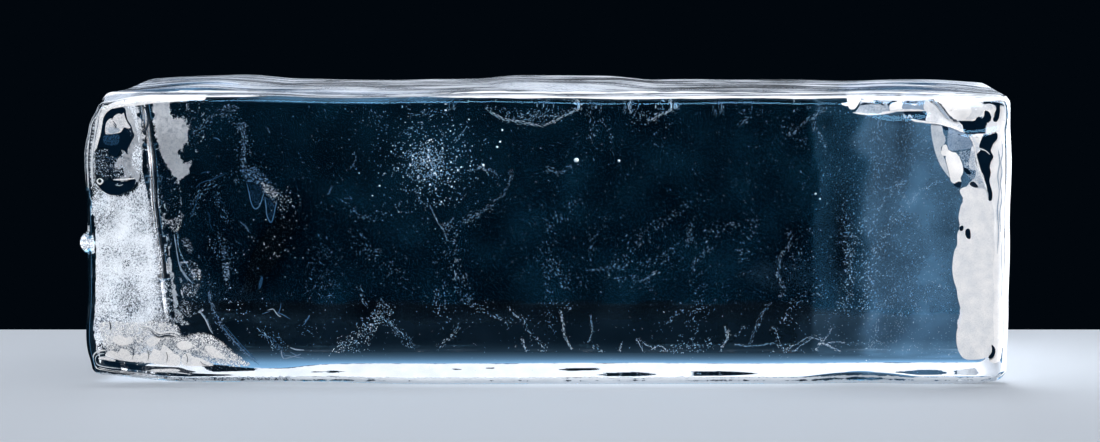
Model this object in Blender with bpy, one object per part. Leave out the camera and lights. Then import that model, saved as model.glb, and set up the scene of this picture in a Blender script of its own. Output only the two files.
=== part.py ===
"""A long clear ice cube, of the kind that is sawn for a tall glass: one solid piece of ice, part melted.

Metres, +Z up. The long side runs along X, the clear front face looks along -Y, and the origin is the
middle of the underside's box. The blank is a box with rounded edges; melting then swells and hollows it.
"""

import math

import bmesh
import bpy
from mathutils import Vector, noise

MM = 0.001

# Driving dimensions of the sawn blank: 1 1/2 in square
LENGTH = 121.4 * MM
DEPTH = 38 * MM
HEIGHT = 38.3 * MM

# Radius that melting has given the edges, at the left end and at the right end
EDGE_RADIUS_LEFT = 1.0 * MM
EDGE_RADIUS_RIGHT = 1.7 * MM

# The left end was sawn askew: its back edge stands this much further in than its front edge
END_SKEW_TOP = 3.6 * MM
END_SKEW_FOOT = 6.6 * MM
SKEW_REACH = 34 * MM

# Grid of the surface: cells along each side, and how many of them lie in each rounded edge
CELLS_LONG = 58
CELLS_SHORT = 21
CELLS_IN_EDGE = 3

# Slow waves that melting leaves, by face: height of the waves and the length of one
WAVES = {
    "front": (0.06 * MM, 24 * MM),
    "back": (0.16 * MM, 17 * MM),
    "top": (0.20 * MM, 15 * MM),
    "left": (0.22 * MM, 9 * MM),
    "right": (0.20 * MM, 10 * MM),
}
UNDERSIDE_KEEP = 0.9  # a face whose normal points down more than this stays flat

# Melt marks: centre, radii and push, all in millimetres. The push is how far the surface moves there.
# "firm" is the share of the radius over which the push is full, so a high one has a steep rim.
MELT_MARKS = {
    # ridges left standing along the top
    "top_ridge_left": {"at": (-50, 12, 38), "radii": (14, 24, 9), "push": (0, 0, 0.62), "firm": 0.3},
    "top_ridge_middle": {"at": (2, 10, 38), "radii": (14, 22, 9), "push": (0, 0, 0.66), "firm": 0.5},
    "top_ridge_right": {"at": (50, 6, 38), "radii": (9, 24, 9), "push": (0, 0, 0.15), "firm": 0.3},
    "top_fall_right": {"at": (63, 10, 38.5), "radii": (11, 30, 6), "push": (-0.3, 0, -0.6), "firm": 0.0},
    "top_dip_left": {"at": (-25, 14, 38), "radii": (9, 18, 8), "push": (0, 0, -0.15), "firm": 0.2},
    # the right end of the top: it stands out behind, and flakes have sprung off the front below it
    "top_corner_right": {"at": (60, 9, 38), "radii": (13, 27, 17), "push": (3.0, 0, -0.2), "firm": 0.2},
    "flake_scar_long": {"at": (45.6, -19.4, 36.9), "radii": (6.6, 3.4, 2.0), "push": (0, 0.5, 0), "firm": 0.55},
    "flake_scar_deep": {"at": (55.6, -19.6, 35.9), "radii": (5.4, 4.2, 3.3), "push": (-0.1, 0.7, -0.1), "firm": 0.5},
    "flake_scar_tail": {"at": (54.2, -19.4, 32.2), "radii": (2.4, 2.6, 4.6), "push": (0, 0.3, 0), "firm": 0.4},
    # the right end: a gully that runs down its front edge, and slow bulges below it
    "right_gully": {"at": (60, -12.5, 29), "radii": (4.5, 4.2, 6.5), "push": (-1.25, 0.2, 0), "firm": 0.25},
    "right_gully_tail": {"at": (60, -11.5, 21.5), "radii": (3.5, 2.6, 4.2), "push": (-0.6, 0.1, 0), "firm": 0.2},
    "right_bulge": {"at": (60, 2, 12), "radii": (6, 13, 9), "push": (0.45, 0, 0), "firm": 0.3},
    "right_dent": {"at": (60, 16, 19), "radii": (5, 6, 4.5), "push": (-0.7, 0, 0), "firm": 0.2},
    # the left end: a rounded top corner, a blister, shallow pits of opened air pockets, and a swollen foot
    "left_top_corner": {"at": (-61, -19, 38.2), "radii": (9, 9, 8), "push": (0, 0.3, -1.0), "firm": 0.1},
    "left_corner_turn": {"at": (-61, -19, 38.2), "radii": (6, 9, 3.2), "push": (1.1, 0, 0), "firm": 0.0},
    "left_side": {"at": (-61, -17, 26.5), "radii": (6, 10, 10.5), "push": (-0.65, 0, 0), "firm": 0.35},
    "left_foot": {"at": (-61, -17, 4), "radii": (8, 13, 10), "push": (-0.45, 0, 0), "firm": 0.3},
    "left_swelling": {"at": (-60, -13, 12), "radii": (8, 14, 14), "push": (-0.55, 0, 0), "firm": 0.3},
    "left_blister": {"at": (-60.5, -17, 18.9), "radii": (3.6, 2.4, 2.0), "push": (-1.1, 0, 0), "firm": 0.3},
    "left_pit_upper": {"at": (-59, -1, 33), "radii": (5, 9, 3.4), "push": (0.35, 0, 0), "firm": 0.3},
    "left_pit_lower": {"at": (-59, -1, 25.6), "radii": (5, 10, 2.4), "push": (0.4, 0, 0), "firm": 0.3},
    "left_dent_back": {"at": (-54.5, 14, 27), "radii": (6, 5, 7), "push": (1.4, -0.3, 0), "firm": 0.2},
    # the front edge of the foot has melted up towards the left corner, and chipped in places
    "foot_corner_left": {"at": (-62, -19, 0), "radii": (15, 15, 7), "push": (0.2, 0.3, 1.4), "firm": 0.0},
    "foot_edge_left": {"at": (-38, -19, 0), "radii": (22, 4, 3), "push": (0, 0.1, 0.3), "firm": 0.4},
    "foot_corner_right": {"at": (61, -19, 0), "radii": (5, 9, 4), "push": (-0.15, 0, 0.5), "firm": 0.0},
    "foot_chip_right": {"at": (41, -19, 0), "radii": (9, 2.6, 2.2), "push": (0, 0.35, 0.35), "firm": 0.2},
    # slow hollows in the back face
    "back_hollow": {"at": (34, 19, 20), "radii": (18, 8, 13), "push": (0, -0.6, 0), "firm": 0.2},
    "back_swelling": {"at": (-20, 19, 17), "radii": (22, 8, 14), "push": (0, 0.4, 0), "firm": 0.2},
}

ICE_BLUE = (0.72, 0.84, 0.93, 1.0)
ICE_IOR = 1.31
ICE_ROUGHNESS = 0.05


def clear_scene():
    for obj in list(bpy.data.objects):
        bpy.data.objects.remove(obj)


def smoothstep(t):
    t = min(1.0, max(0.0, t))
    return t * t * (3 - 2 * t)


def edge_radius_at(x):
    return EDGE_RADIUS_LEFT + (EDGE_RADIUS_RIGHT - EDGE_RADIUS_LEFT) * smoothstep(0.5 + x / LENGTH)


def spread(share, half, cells):
    """Where a grid line at this share of the half side goes, so that the rounded edge gets its own cells."""
    edge_share = 2 * CELLS_IN_EDGE / cells
    radius = EDGE_RADIUS_RIGHT
    size = abs(share)
    if size <= 1 - edge_share:
        place = size / (1 - edge_share) * (half - radius)
    else:
        angle = (size - (1 - edge_share)) / edge_share * math.radians(45)
        place = half - radius + radius * math.tan(angle)
    return math.copysign(place, share)


def make_grid_box():
    """A box from -1 to 1 on each axis, with its faces cut into a grid."""
    bm = bmesh.new()
    bmesh.ops.create_cube(bm, size=2)
    for axis, cells in enumerate((CELLS_LONG, CELLS_SHORT, CELLS_SHORT)):
        along = [e for e in bm.edges if abs(e.verts[0].co[axis] - e.verts[1].co[axis]) > 1.9]
        bmesh.ops.subdivide_edges(bm, edges=along, cuts=cells - 1, use_grid_fill=True)
    return bm


def round_edges(bm):
    """Sizes the box to the sawn blank and rounds its edges."""
    half = Vector((LENGTH, DEPTH, HEIGHT)) / 2
    cells = (CELLS_LONG, CELLS_SHORT, CELLS_SHORT)
    for vert in bm.verts:
        place = Vector([spread(vert.co[k], half[k], cells[k]) for k in range(3)])
        radius = edge_radius_at(place.x)
        core = Vector([max(-half[k] + radius, min(half[k] - radius, place[k])) for k in range(3)])
        outward = place - core
        vert.co = core + outward.normalized() * radius if outward.length > 0 else place


def skew_left_end(co):
    """How far the left end's skew moves a point to the right."""
    near_end = smoothstep((SKEW_REACH - LENGTH / 2 - co.x) / SKEW_REACH)
    towards_back = (co.y + DEPTH / 2) / DEPTH
    height_share = co.z / HEIGHT
    skew = END_SKEW_FOOT + (END_SKEW_TOP - END_SKEW_FOOT) * height_share
    return skew * near_end * towards_back


def face_weights(co):
    """How much a point belongs to each face that waves, from 0 to 1, fading over the edges."""
    margin = 3 * EDGE_RADIUS_RIGHT
    return {
        "front": smoothstep((-co.y - DEPTH / 2 + margin) / margin),
        "back": smoothstep((co.y - DEPTH / 2 + margin) / margin),
        "top": smoothstep((co.z - HEIGHT + margin) / margin),
        "left": smoothstep((-co.x - LENGTH / 2 + margin) / margin),
        "right": smoothstep((co.x - LENGTH / 2 + margin) / margin),
    }


FACE_DIRECTIONS = {
    "front": Vector((0, -1, 0)),
    "back": Vector((0, 1, 0)),
    "top": Vector((0, 0, 1)),
    "left": Vector((-1, 0, 0)),
    "right": Vector((1, 0, 0)),
}


def wave_at(co):
    """The slow melt waves at a point, as a move."""
    move = Vector((0, 0, 0))
    above_foot = smoothstep(co.z / (4 * MM))
    for face, weight in face_weights(co).items():
        height, length = WAVES[face]
        swell = noise.noise(co / length + 7 * FACE_DIRECTIONS[face])
        move += FACE_DIRECTIONS[face] * height * weight * swell * above_foot * 2
    return move


def mark_at(co, mark):
    """One melt mark's move at a point."""
    offset = [(co[k] / MM - mark["at"][k]) / mark["radii"][k] for k in range(3)]
    distance = math.sqrt(sum(part * part for part in offset))
    strength = smoothstep((1 - distance) / (1 - mark["firm"]))
    return Vector(mark["push"]) * MM * strength


def melt(bm):
    """Moves the blank's surface to where melting has left it."""
    bm.normal_update()
    for vert in bm.verts:
        vert.co.z += HEIGHT / 2
    for vert in bm.verts:
        start = vert.co.copy()
        underside = vert.normal.z < -UNDERSIDE_KEEP
        move = sum((mark_at(start, mark) for mark in MELT_MARKS.values()), Vector((0, 0, 0)))
        if not underside:
            move += wave_at(start)
        vert.co = start + move
        vert.co.x += skew_left_end(start)
        vert.co.z = max(vert.co.z, 0.0)


def centre_on_origin(bm):
    """Puts the middle of the underside of the block's box at the origin."""
    for axis in range(2):
        places = [vert.co[axis] for vert in bm.verts]
        middle = (min(places) + max(places)) / 2
        for vert in bm.verts:
            vert.co[axis] -= middle


def ice_material():
    material = bpy.data.materials.new("clear_ice")
    material.use_nodes = True
    shader = material.node_tree.nodes["Principled BSDF"]
    shader.inputs["Base Color"].default_value = ICE_BLUE
    shader.inputs["Roughness"].default_value = ICE_ROUGHNESS
    shader.inputs["Metallic"].default_value = 0.0
    shader.inputs["IOR"].default_value = ICE_IOR
    shader.inputs["Transmission Weight"].default_value = 1.0
    return material


def make_ice_block():
    bm = make_grid_box()
    round_edges(bm)
    melt(bm)
    centre_on_origin(bm)
    bmesh.ops.recalc_face_normals(bm, faces=bm.faces)
    mesh = bpy.data.meshes.new("ice_block")
    bm.to_mesh(mesh)
    bm.free()
    mesh.shade_smooth()
    mesh.materials.append(ice_material())
    block = bpy.data.objects.new("ice_block", mesh)
    bpy.context.scene.collection.objects.link(block)
    return block


clear_scene()
make_ice_block()
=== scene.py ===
# A long clear ice cube, sawn for a tall glass and part melted, on a pale board in a dark room.
import math
import random
from types import SimpleNamespace

import bmesh
import bpy
import numpy as np
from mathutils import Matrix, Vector, noise
from mathutils.bvhtree import BVHTree


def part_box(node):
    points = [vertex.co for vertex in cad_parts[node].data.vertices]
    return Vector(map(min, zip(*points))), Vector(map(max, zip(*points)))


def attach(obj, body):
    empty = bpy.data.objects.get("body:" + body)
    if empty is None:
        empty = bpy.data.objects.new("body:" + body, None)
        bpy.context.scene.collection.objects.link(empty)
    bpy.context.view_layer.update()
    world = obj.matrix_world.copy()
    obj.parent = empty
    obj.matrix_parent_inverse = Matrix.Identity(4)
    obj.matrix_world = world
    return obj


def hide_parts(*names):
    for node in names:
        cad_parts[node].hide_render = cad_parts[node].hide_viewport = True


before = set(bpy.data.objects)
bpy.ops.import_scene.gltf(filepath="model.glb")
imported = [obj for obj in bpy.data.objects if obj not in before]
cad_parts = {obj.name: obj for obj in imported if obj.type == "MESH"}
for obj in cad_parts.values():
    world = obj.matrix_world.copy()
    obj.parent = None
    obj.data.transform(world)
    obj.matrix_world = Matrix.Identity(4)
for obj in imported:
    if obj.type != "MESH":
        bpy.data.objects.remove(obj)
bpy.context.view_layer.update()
lowCorner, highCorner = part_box("ice_block")
mm = 0.001


def smoothstep(t):
    t = min(1.0, max(0.0, t))
    return t * t * (3 - 2 * t)


def fromHex(text):
    # an sRGB hex value as linear red, green, blue and alpha
    parts = [int(text[k:k + 2], 16) / 255 for k in (1, 3, 5)]
    return (*[p / 12.92 if p <= 0.04045 else ((p + 0.055) / 1.055) ** 2.4 for p in parts], 1.0)


def setInputs(tree, node, links):
    for name, value in links.items():
        if isinstance(value, bpy.types.NodeSocket):
            tree.links.new(value, node.inputs[name])
        else:
            node.inputs[name].default_value = value


def addNode(tree, kind, settings=None, links=None):
    # a node with its settings, and its inputs set to values or linked from other sockets
    made = tree.nodes.new(kind)
    for name, value in (settings or {}).items():
        setattr(made, name, value)
    setInputs(tree, made, links or {})
    return made.outputs[0] if made.outputs else made


def addMath(tree, operation, *values, clamp=False):
    settings = {"operation": operation, "use_clamp": clamp}
    return addNode(tree, "ShaderNodeMath", settings, dict(enumerate(values)))


def addMap(tree, value, low, high, toLow=0.0, toHigh=1.0, **settings):
    # a node that carries what lies between low and high over to between toLow and toHigh
    links = {"Value": value, "From Min": low, "From Max": high, "To Min": toLow, "To Max": toHigh}
    return addNode(tree, "ShaderNodeMapRange", settings, links)


def addNoise(tree, place, scale, **shape):
    return addNode(tree, "ShaderNodeTexNoise", {}, {"Vector": place, "Scale": scale, **shape})


def mixColours(tree, share, first, second):
    links = {0: share, 6: first, 7: second}
    return addNode(tree, "ShaderNodeMix", {"data_type": "RGBA"}, links).node.outputs[2]


def readLayer(tree, name):
    return addNode(tree, "ShaderNodeAttribute", {"attribute_name": name}).node.outputs["Fac"]


def newMaterial(name):
    made = bpy.data.materials.new(name)
    made.use_nodes = True
    return made, made.node_tree, made.node_tree.nodes["Principled BSDF"]


def toMesh(bm, name):
    mesh = bpy.data.meshes.new(name)
    bm.to_mesh(mesh)
    bm.free()
    return mesh


def allRows(groups):
    return [row for rows in groups.values() for row in rows]


def addObject(name, data):
    made = bpy.data.objects.new(name, data)
    bpy.context.scene.collection.objects.link(made)
    return made


print("camera, board and lights")
camera = {"place": (-0.0009, -0.3993, 0.064), "pitchDown": 6.319, "lens": 95.07, "sensor": 36}
lens = bpy.data.cameras.new("camera")
lens.sensor_width = camera["sensor"]
lens.lens = camera["lens"]
cameraObject = addObject("camera", lens)
cameraObject.location = camera["place"]
cameraObject.rotation_euler = (math.radians(90 - camera["pitchDown"]), 0, 0)
bpy.context.scene.camera = cameraObject

view = {  # the camera's frame in dots, 1100 wide: what lies on and in the ice is placed by where it is seen
    "middle": (550, 221), "focal": 2905,
    "frontAway": 380, "middleBehind": 19,  # mm from eye to front, and from there to the middle
    "footLine": 385.5, "footDot": 0.1325,  # the front edge of the foot, and mm to a dot there
    # where the ends stand at the front, and how far in their back edges stand, in mm: at the foot, at the top
    "leftEnd": (-62.2, 6.6, 3.6), "rightEnd": (60.6, 0.5, 1.6), "rightTopFrom": 24, "high": 38.2,
    "nearest": -20, "farthest": 400,  # tenths of a mm behind the front between which the ends are looked for
}


def seenAt(across, down, deep):
    # a spot of the view as x and z in mm, when it lies so far behind the front of the ice
    pitch = math.radians(camera["pitchDown"])
    eyeX, eyeZ = camera["place"][0] / mm, camera["place"][2] / mm
    lower = (down - view["middle"][1]) / view["focal"]
    aside = (across - view["middle"][0]) / view["focal"]
    x = eyeX + aside * view["frontAway"] / (math.cos(pitch) - math.sin(pitch) * lower)
    z = eyeZ - view["frontAway"] * math.tan(pitch + math.atan(lower))
    beyond = deep / clearIce["ior"] / view["frontAway"]  # ice bends the line of sight
    return x + (x - eyeX) * beyond, z + (z - eyeZ) * beyond


def seenOnEnd(across, down, face):
    # a spot of the view on the left or right end: the depth whose line of sight comes nearest to the end
    best = None
    for tenth in range(view["nearest"], view["farthest"] + 1):
        deep = tenth * 0.1
        x, z = seenAt(across, down, max(deep, 0))
        start, atFoot, atTop = view[face + "End"]
        if face == "left":
            standsIn = atFoot + (atTop - atFoot) * z / view["high"]
        else:
            standsIn = atTop if z > view["rightTopFrom"] else atFoot
        miss = abs(x - start - standsIn * deep / (2 * view["middleBehind"]))
        if best is None or miss < best[0]:
            best = (miss, deep - view["middleBehind"], z)
    return best[1:]


def seenOn(face, across, down):
    # a spot of the view on a face of the block, in tenths of a mm: along the face, then up or to the back
    if face in ("left", "right"):
        a, b = seenOnEnd(across, down, face)
    elif face == "foot":
        rise = (view["footLine"] - down) * view["footDot"]
        eyeHeight = camera["place"][2] / mm
        deep = view["frontAway"] * clearIce["ior"] * rise / (eyeHeight - rise)
        a, b = seenAt(across, down, deep)[0], deep - view["middleBehind"]
    else:
        a, b = seenAt(across, down, 2 * view["middleBehind"])
    return round(a, 1), round(b, 1)


def inPairs(numbers):
    return list(zip(numbers[::2], numbers[1::2]))


def smoothCurve(points, steps, closed=False):
    # a Catmull-Rom curve through the points
    if closed:
        ends = [points[-1]] + list(points) + [points[0], points[1]]
    else:
        ends = [points[0]] + list(points) + [points[-1]]
    route = []
    for a, b, c, d in zip(ends, ends[1:], ends[2:], ends[3:]):
        for k in range(steps):
            t = k / steps
            route.append(0.5 * (2 * b + (c - a) * t + (2 * a - 5 * b + 4 * c - d) * t ** 2
                                + (3 * b - a - 3 * c + d) * t ** 3))
    return route if closed else route + [points[-1]]


studio = {
    "boardColour": "#cfd5da", "boardWidth": 2.4, "boardFront": 0.046, "boardBack": 0.012,
    "boardThick": 0.012, "boardGap": 0.00004, "boardRough": 0.7,
    "roomColour": "#02070d",
    # name, place, width, height, aim, watts, colour
    "iceLamps": (
        ("softbox_left", (-0.36, 0.02, 0.10), 0.30, 0.24, (-0.05, 0, 0.02), 0.38, "#fafbff"),
        ("softbox_right", (0.36, 0.02, 0.10), 0.30, 0.24, (0.05, 0, 0.02), 2.5, "#fafbff"),
        ("softbox_back", (0.0, 0.55, 0.31), 1.1, 0.36, (0, 0, 0.03), 2.6, "#e0e9f9"),
        ("softbox_top", (0.0, -0.02, 0.42), 0.50, 0.30, (0, 0, 0.02), 0.5, "#fafbff"),
        ("softbox_front", (0.0, -0.50, 0.46), 0.60, 0.20, (0, 0, 0.02), 5.2, "#fafbff"),
    ),
    "boardLamps": (
        ("softbox_board", (0.0, 0.0, 0.60), 0.60, 0.40, (0, 0, 0), 4.2, "#f4f7ff"),
    ),
}


def makeStudio():
    bm = bmesh.new()
    bmesh.ops.create_cube(bm, size=1)
    front = lowCorner.y - studio["boardFront"]
    back = highCorner.y + studio["boardBack"]
    bmesh.ops.scale(bm, vec=(studio["boardWidth"], back - front, studio["boardThick"]), verts=bm.verts)
    middle = (0, (front + back) / 2, -studio["boardThick"] / 2 - studio["boardGap"])
    bmesh.ops.translate(bm, vec=middle, verts=bm.verts)
    mesh = toMesh(bm, "board")
    board = addObject("board", mesh)
    paint, tree, shader = newMaterial("matt_painted_board")
    setInputs(tree, shader, {"Base Color": fromHex(studio["boardColour"]), "Roughness": studio["boardRough"]})
    mesh.materials.append(paint)
    board.visible_glossy = False
    board.visible_transmission = False

    cycles = bpy.context.scene.cycles
    cycles.caustics_reflective = False
    cycles.caustics_refractive = False
    cycles.transparent_max_bounces = 24
    room = bpy.data.worlds.new("dark_room")
    room.use_nodes = True
    room.node_tree.nodes["Background"].inputs["Color"].default_value = fromHex(studio["roomColour"])
    bpy.context.scene.world = room
    boardOnly = bpy.data.collections.new("board_only")
    boardOnly.objects.link(board)
    for lamps, receivers in ((studio["iceLamps"], litIce), (studio["boardLamps"], boardOnly)):
        for name, place, width, height, aim, watts, colour in lamps:
            lamp = bpy.data.lights.new(name, "AREA")
            lamp.shape = "RECTANGLE"
            lamp.size = width
            lamp.size_y = height
            lamp.energy = watts
            lamp.color = fromHex(colour)[:3]
            holder = addObject(name, lamp)
            holder.location = place
            holder.rotation_euler = (Vector(aim) - Vector(place)).to_track_quat("-Z", "Y").to_euler()
            holder.visible_camera = False
            holder.light_linking.receiver_collection = receivers


litIce = bpy.data.collections.new("ice_only")
makeStudio()


print("the ice itself")
blank = {  # the sawn bar before it melted
    "length": 121.4 * mm, "depth": 38 * mm, "height": 38.3 * mm,
    "radiusLeft": 1.0 * mm, "radiusRight": 1.7 * mm,
    "skewTop": 3.6 * mm, "skewFoot": 6.6 * mm, "skewReach": 34 * mm,
    "cellsLong": 200,
    "cellsShort": 96,
    "cellsCloserAtEnds": 0.35,
    "cellsInEdge": 9,
}
waves = {  # slow waves by face: the way out, their height and their length
    "front": (Vector((0, -1, 0)), 0.06 * mm, 24 * mm),
    "back": (Vector((0, 1, 0)), 0.16 * mm, 17 * mm),
    "top": (Vector((0, 0, 1)), 0.20 * mm, 15 * mm),
    "left": (Vector((-1, 0, 0)), 0.22 * mm, 9 * mm),
    "right": (Vector((1, 0, 0)), 0.20 * mm, 10 * mm),
}
meltMarks = [  # centre, radii and push in mm, and the share of the radius where the push is full
    ((-50, 12, 38), (14, 24, 9), (0, 0, 0.62), 0.3),
    ((2, 10, 38), (14, 22, 9), (0, 0, 0.66), 0.5),
    ((50, 6, 38), (9, 24, 9), (0, 0, 0.15), 0.3),
    ((63, 10, 38.5), (11, 30, 6), (-0.3, 0, -0.6), 0.0),
    ((-25, 14, 38), (9, 18, 8), (0, 0, -0.15), 0.2),
    ((60, 9, 38), (13, 27, 17), (3.0, 0, -0.2), 0.2),
    ((45.6, -19.4, 36.9), (6.6, 3.4, 2.0), (0, 0.5, 0), 0.55),
    ((55.6, -19.6, 35.9), (5.4, 4.2, 3.3), (-0.1, 0.7, -0.1), 0.5),
    ((54.2, -19.4, 32.2), (2.4, 2.6, 4.6), (0, 0.3, 0), 0.4),
    ((60, -12.5, 29), (4.5, 4.2, 6.5), (-1.25, 0.2, 0), 0.25),
    ((60, -11.5, 21.5), (3.5, 2.6, 4.2), (-0.6, 0.1, 0), 0.2),
    ((60, 2, 12), (6, 13, 9), (0.45, 0, 0), 0.3),
    ((60, 16, 19), (5, 6, 4.5), (-0.7, 0, 0), 0.2),
    ((-61, -19, 38.2), (9, 9, 8), (0, 0.3, -1.0), 0.1),
    ((-61, -19, 38.2), (6, 9, 3.2), (1.1, 0, 0), 0.0),
    ((-61, -17, 26.5), (6, 10, 10.5), (-0.65, 0, 0), 0.35),
    ((-61, -17, 4), (8, 13, 10), (-0.45, 0, 0), 0.3),
    ((-60, -13, 12), (8, 14, 14), (-0.55, 0, 0), 0.3),
    ((-60.5, -17, 18.9), (3.6, 2.4, 2.0), (-1.1, 0, 0), 0.3),
    ((-59, -1, 33), (5, 9, 3.4), (0.35, 0, 0), 0.3),
    ((-59, -1, 25.6), (5, 10, 2.4), (0.4, 0, 0), 0.3),
    ((-54.5, 14, 27), (6, 5, 7), (1.4, -0.3, 0), 0.2),
    ((-62, -19, 0), (15, 15, 7), (0.2, 0.3, 1.4), 0.0),
    ((61, -19, 0), (5, 9, 4), (-0.15, 0, 0.5), 0.0),
    ((-38, -19, 0), (22, 4, 3), (0, 0.1, 0.3), 0.4),
    ((41, -19, 0), (9, 2.6, 2.2), (0, 0.35, 0.35), 0.2),
    ((34, 19, 20), (18, 8, 13), (0, -0.6, 0), 0.2),
    ((-20, 19, 17), (22, 8, 14), (0, 0.4, 0), 0.2),
]


def spreadOut(share, half, cells, closer):
    # closer: how much finer the cells are near the two ends than half way
    edgeShare = 2 * blank["cellsInEdge"] / cells
    radius = blank["radiusRight"]
    size = abs(share)
    if size <= 1 - edgeShare:
        flat = size / (1 - edgeShare)
        return math.copysign((flat + closer * (flat - flat ** 3)) * (half - radius), share)
    angle = (size - (1 - edgeShare)) / edgeShare * math.radians(45)
    return math.copysign(half - radius + radius * math.tan(angle), share)


def waveAt(co):
    margin = 3 * blank["radiusRight"]
    half = Vector((blank["length"], blank["depth"], blank["height"])) / 2
    centred = co - Vector((0, 0, half.z))
    move = Vector()
    for wayOut, height, length in waves.values():
        reach = abs(wayOut.dot(half))
        weight = smoothstep((wayOut.dot(centred) - reach + margin) / margin)
        if weight > 0:
            move += wayOut * height * weight * noise.noise(co / length + 7 * wayOut) * 2
    return move * smoothstep(co.z / (4 * mm))


def markAt(co, mark):
    at, radii, push, firm = mark
    offset = [(co[k] / mm - at[k]) / radii[k] for k in range(3)]
    distance = math.sqrt(sum(part * part for part in offset))
    if distance >= 1:
        return Vector()
    return Vector(push) * mm * smoothstep((1 - distance) / (1 - firm))


def makeBlank():
    bm = bmesh.new()
    bmesh.ops.create_cube(bm, size=2)
    cells = (blank["cellsLong"], blank["cellsShort"], blank["cellsShort"])
    closer = (blank["cellsCloserAtEnds"], 0, 0)
    half = Vector((blank["length"], blank["depth"], blank["height"])) / 2
    for axis in range(3):
        along = [e for e in bm.edges if abs(e.verts[0].co[axis] - e.verts[1].co[axis]) > 1.9]
        bmesh.ops.subdivide_edges(bm, edges=along, cuts=cells[axis] - 1, use_grid_fill=True)
    for vert in bm.verts:
        place = Vector([spreadOut(vert.co[k], half[k], cells[k], closer[k]) for k in range(3)])
        towardsRight = smoothstep(0.5 + place.x / blank["length"])
        radius = blank["radiusLeft"] + (blank["radiusRight"] - blank["radiusLeft"]) * towardsRight
        core = Vector([max(radius - half[k], min(half[k] - radius, place[k])) for k in range(3)])
        outward = place - core
        vert.co = core + outward.normalized() * radius if outward.length > 0 else place
        vert.co.z += half.z
    bm.normal_update()
    return bm


def meltBlank(bm):
    for vert in bm.verts:
        start = vert.co.copy()
        move = sum((markAt(start, mark) for mark in meltMarks), Vector())
        if vert.normal.z > -0.9:
            move += waveAt(start)
        nearEnd = smoothstep((blank["skewReach"] - blank["length"] / 2 - start.x) / blank["skewReach"])
        skew = blank["skewFoot"] + (blank["skewTop"] - blank["skewFoot"]) * start.z / blank["height"]
        move.x += skew * nearEnd * (start.y / blank["depth"] + 0.5)
        vert.co = start + move
        vert.co.z = max(vert.co.z, 0.0)
    for axis in range(2):  # its middle goes where the solid's is
        places = [vert.co[axis] for vert in bm.verts]
        shift = (lowCorner[axis] + highCorner[axis]) / 2 - (min(places) + max(places)) / 2
        for vert in bm.verts:
            vert.co[axis] += shift


frost = {
    "none": -3.0, "whole": 2.0,  # how far inside the frost what is bare and what is all frost counts, in mm
    "faceNormal": (0.6, 0.55),  # how squarely a point of the long faces and of the ends must face out
    # where the frost ends on the back, from the foot up: the start, the line as it is seen, across and down
    # in turn, and the rest; the start and the rest are (height, place along the bar) in mm
    "backRightEdge": ([(-2, 57.9)], (959.3, 355, 957, 341, 956.4, 324, 961.4, 303, 957.9, 282, 953, 275,
                      953.6, 252, 957.9, 245, 958.5, 224, 960.7, 207, 963.5, 196),
                      [(23.2, 57.5), (25.5, 59.6), (40, 60.4)]),
    "backLeftEdge": ([(-2, -42)], (230, 345, 200, 330, 185, 320, 177, 300, 172, 260, 165, 230, 160, 200,
                     150, 175), [(27, -60), (40, -60)]),
    "clearStripLeft": 4.6,  # mm of the left end that stay clear behind its front edge
    "slant": 4.4,  # how much longer what lies on the left end is along its depth than up it
    # the frosted strip of the underside, in mm behind the front, and how soft its edges are
    "footFrom": 3.0, "footTo": 24.6, "footWave": 1.4, "footShare": 0.5,
    # lines of frost along the front edges, painted highlights of the rounded edges: place across, half width
    # and waviness in mm
    "topLines": ((0.75, 0.38, 0.1), (7.4, 1.3, 1.3)), "topLineFades": (0.9, 0.8),
    "topLineReach": -0.6, "topLineSpeckled": -0.25,
    "footLine": (-0.55, 0.34, 0.10), "footLineWider": 0.7, "footRim": 0.62, "footRimWave": 0.12,
    "blister": (-17, 18.9, 2.3),  # the frosted blister on the left end: y, height and reach in mm
    "blisterLeftOf": -61.6,
    "greyStretch": (-27.5, 5),  # where the top lines fade out: the middle, and a third of the reach in mm
    # blue-grey lanes along the top: centre, half length and half width in mm, and how strong
    "topLanes": (((-50.5, 11), (6.8, 2.4), 1), ((-48.5, 19), (5, 1.3), 0.8), ((-49, 28), (3, 1), 0.6),
                 ((-40, 14), (4, 1.5), 0.5), ((44, 17), (7.5, 2.4), 0.8), ((47, 8), (5, 1.4), 0.8),
                 ((50, 27), (4, 1.5), 0.6)),
}
# fine haze on the back, in mm: it comes on in steps to the right, with clouds and clear places in it
backHaze = {
    "base": 0.04, "drift": 0.5, "uneven": (0.35, 0.15), "limits": (0.15, 1.6),
    "blur": 0.1, "blurAtFoot": 0.05, "footPale": 0.2, "paleFrom": -45, "paleOver": 8, "footReach": 2.2,
    # place along the bar, waviness, width, how much haze and how pale
    "steps": ((36.0, 0.5, 0.9, 0.13, 0.3), (41.8, 1.4, 3.2, 0.38, 0.55)),
    # a darker slanting place in the left half: centre, half length, half width and slant in degrees
    "darkPlace": ((-41.3, 12.9), 10.5, 3.0, 57.3),
    # centre, radii and how much more or less haze
    "clouds": (((40.4, 16), (1.2, 6.5), -0.75), ((38.6, 32.6), (1.6, 1.9), -0.7),
               ((49, 30.4), (1.5, 3.8), -0.55), ((50.3, 22.3), (2.2, 3), 0.3), ((44, 30.6), (2.2, 2.6), 0.2),
               ((53.5, 9), (2.4, 9), 0.2), ((47, 6), (1.4, 8), -0.25), ((-17, 28), (4, 5), 1.4),
               ((-3, 18), (10, 8), 0.2), ((12, 12), (9, 5), 0.3), ((31, 14), (4, 9), -0.4),
               ((-24, 20), (4, 6), 0.3)),
}
# how speckled each kind of area is: from an even white to mostly clear with grains in it
grains = {"frost": 0.3, "flecked": 0.52, "speckled": 1.0, "marked": 1.7}
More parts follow.
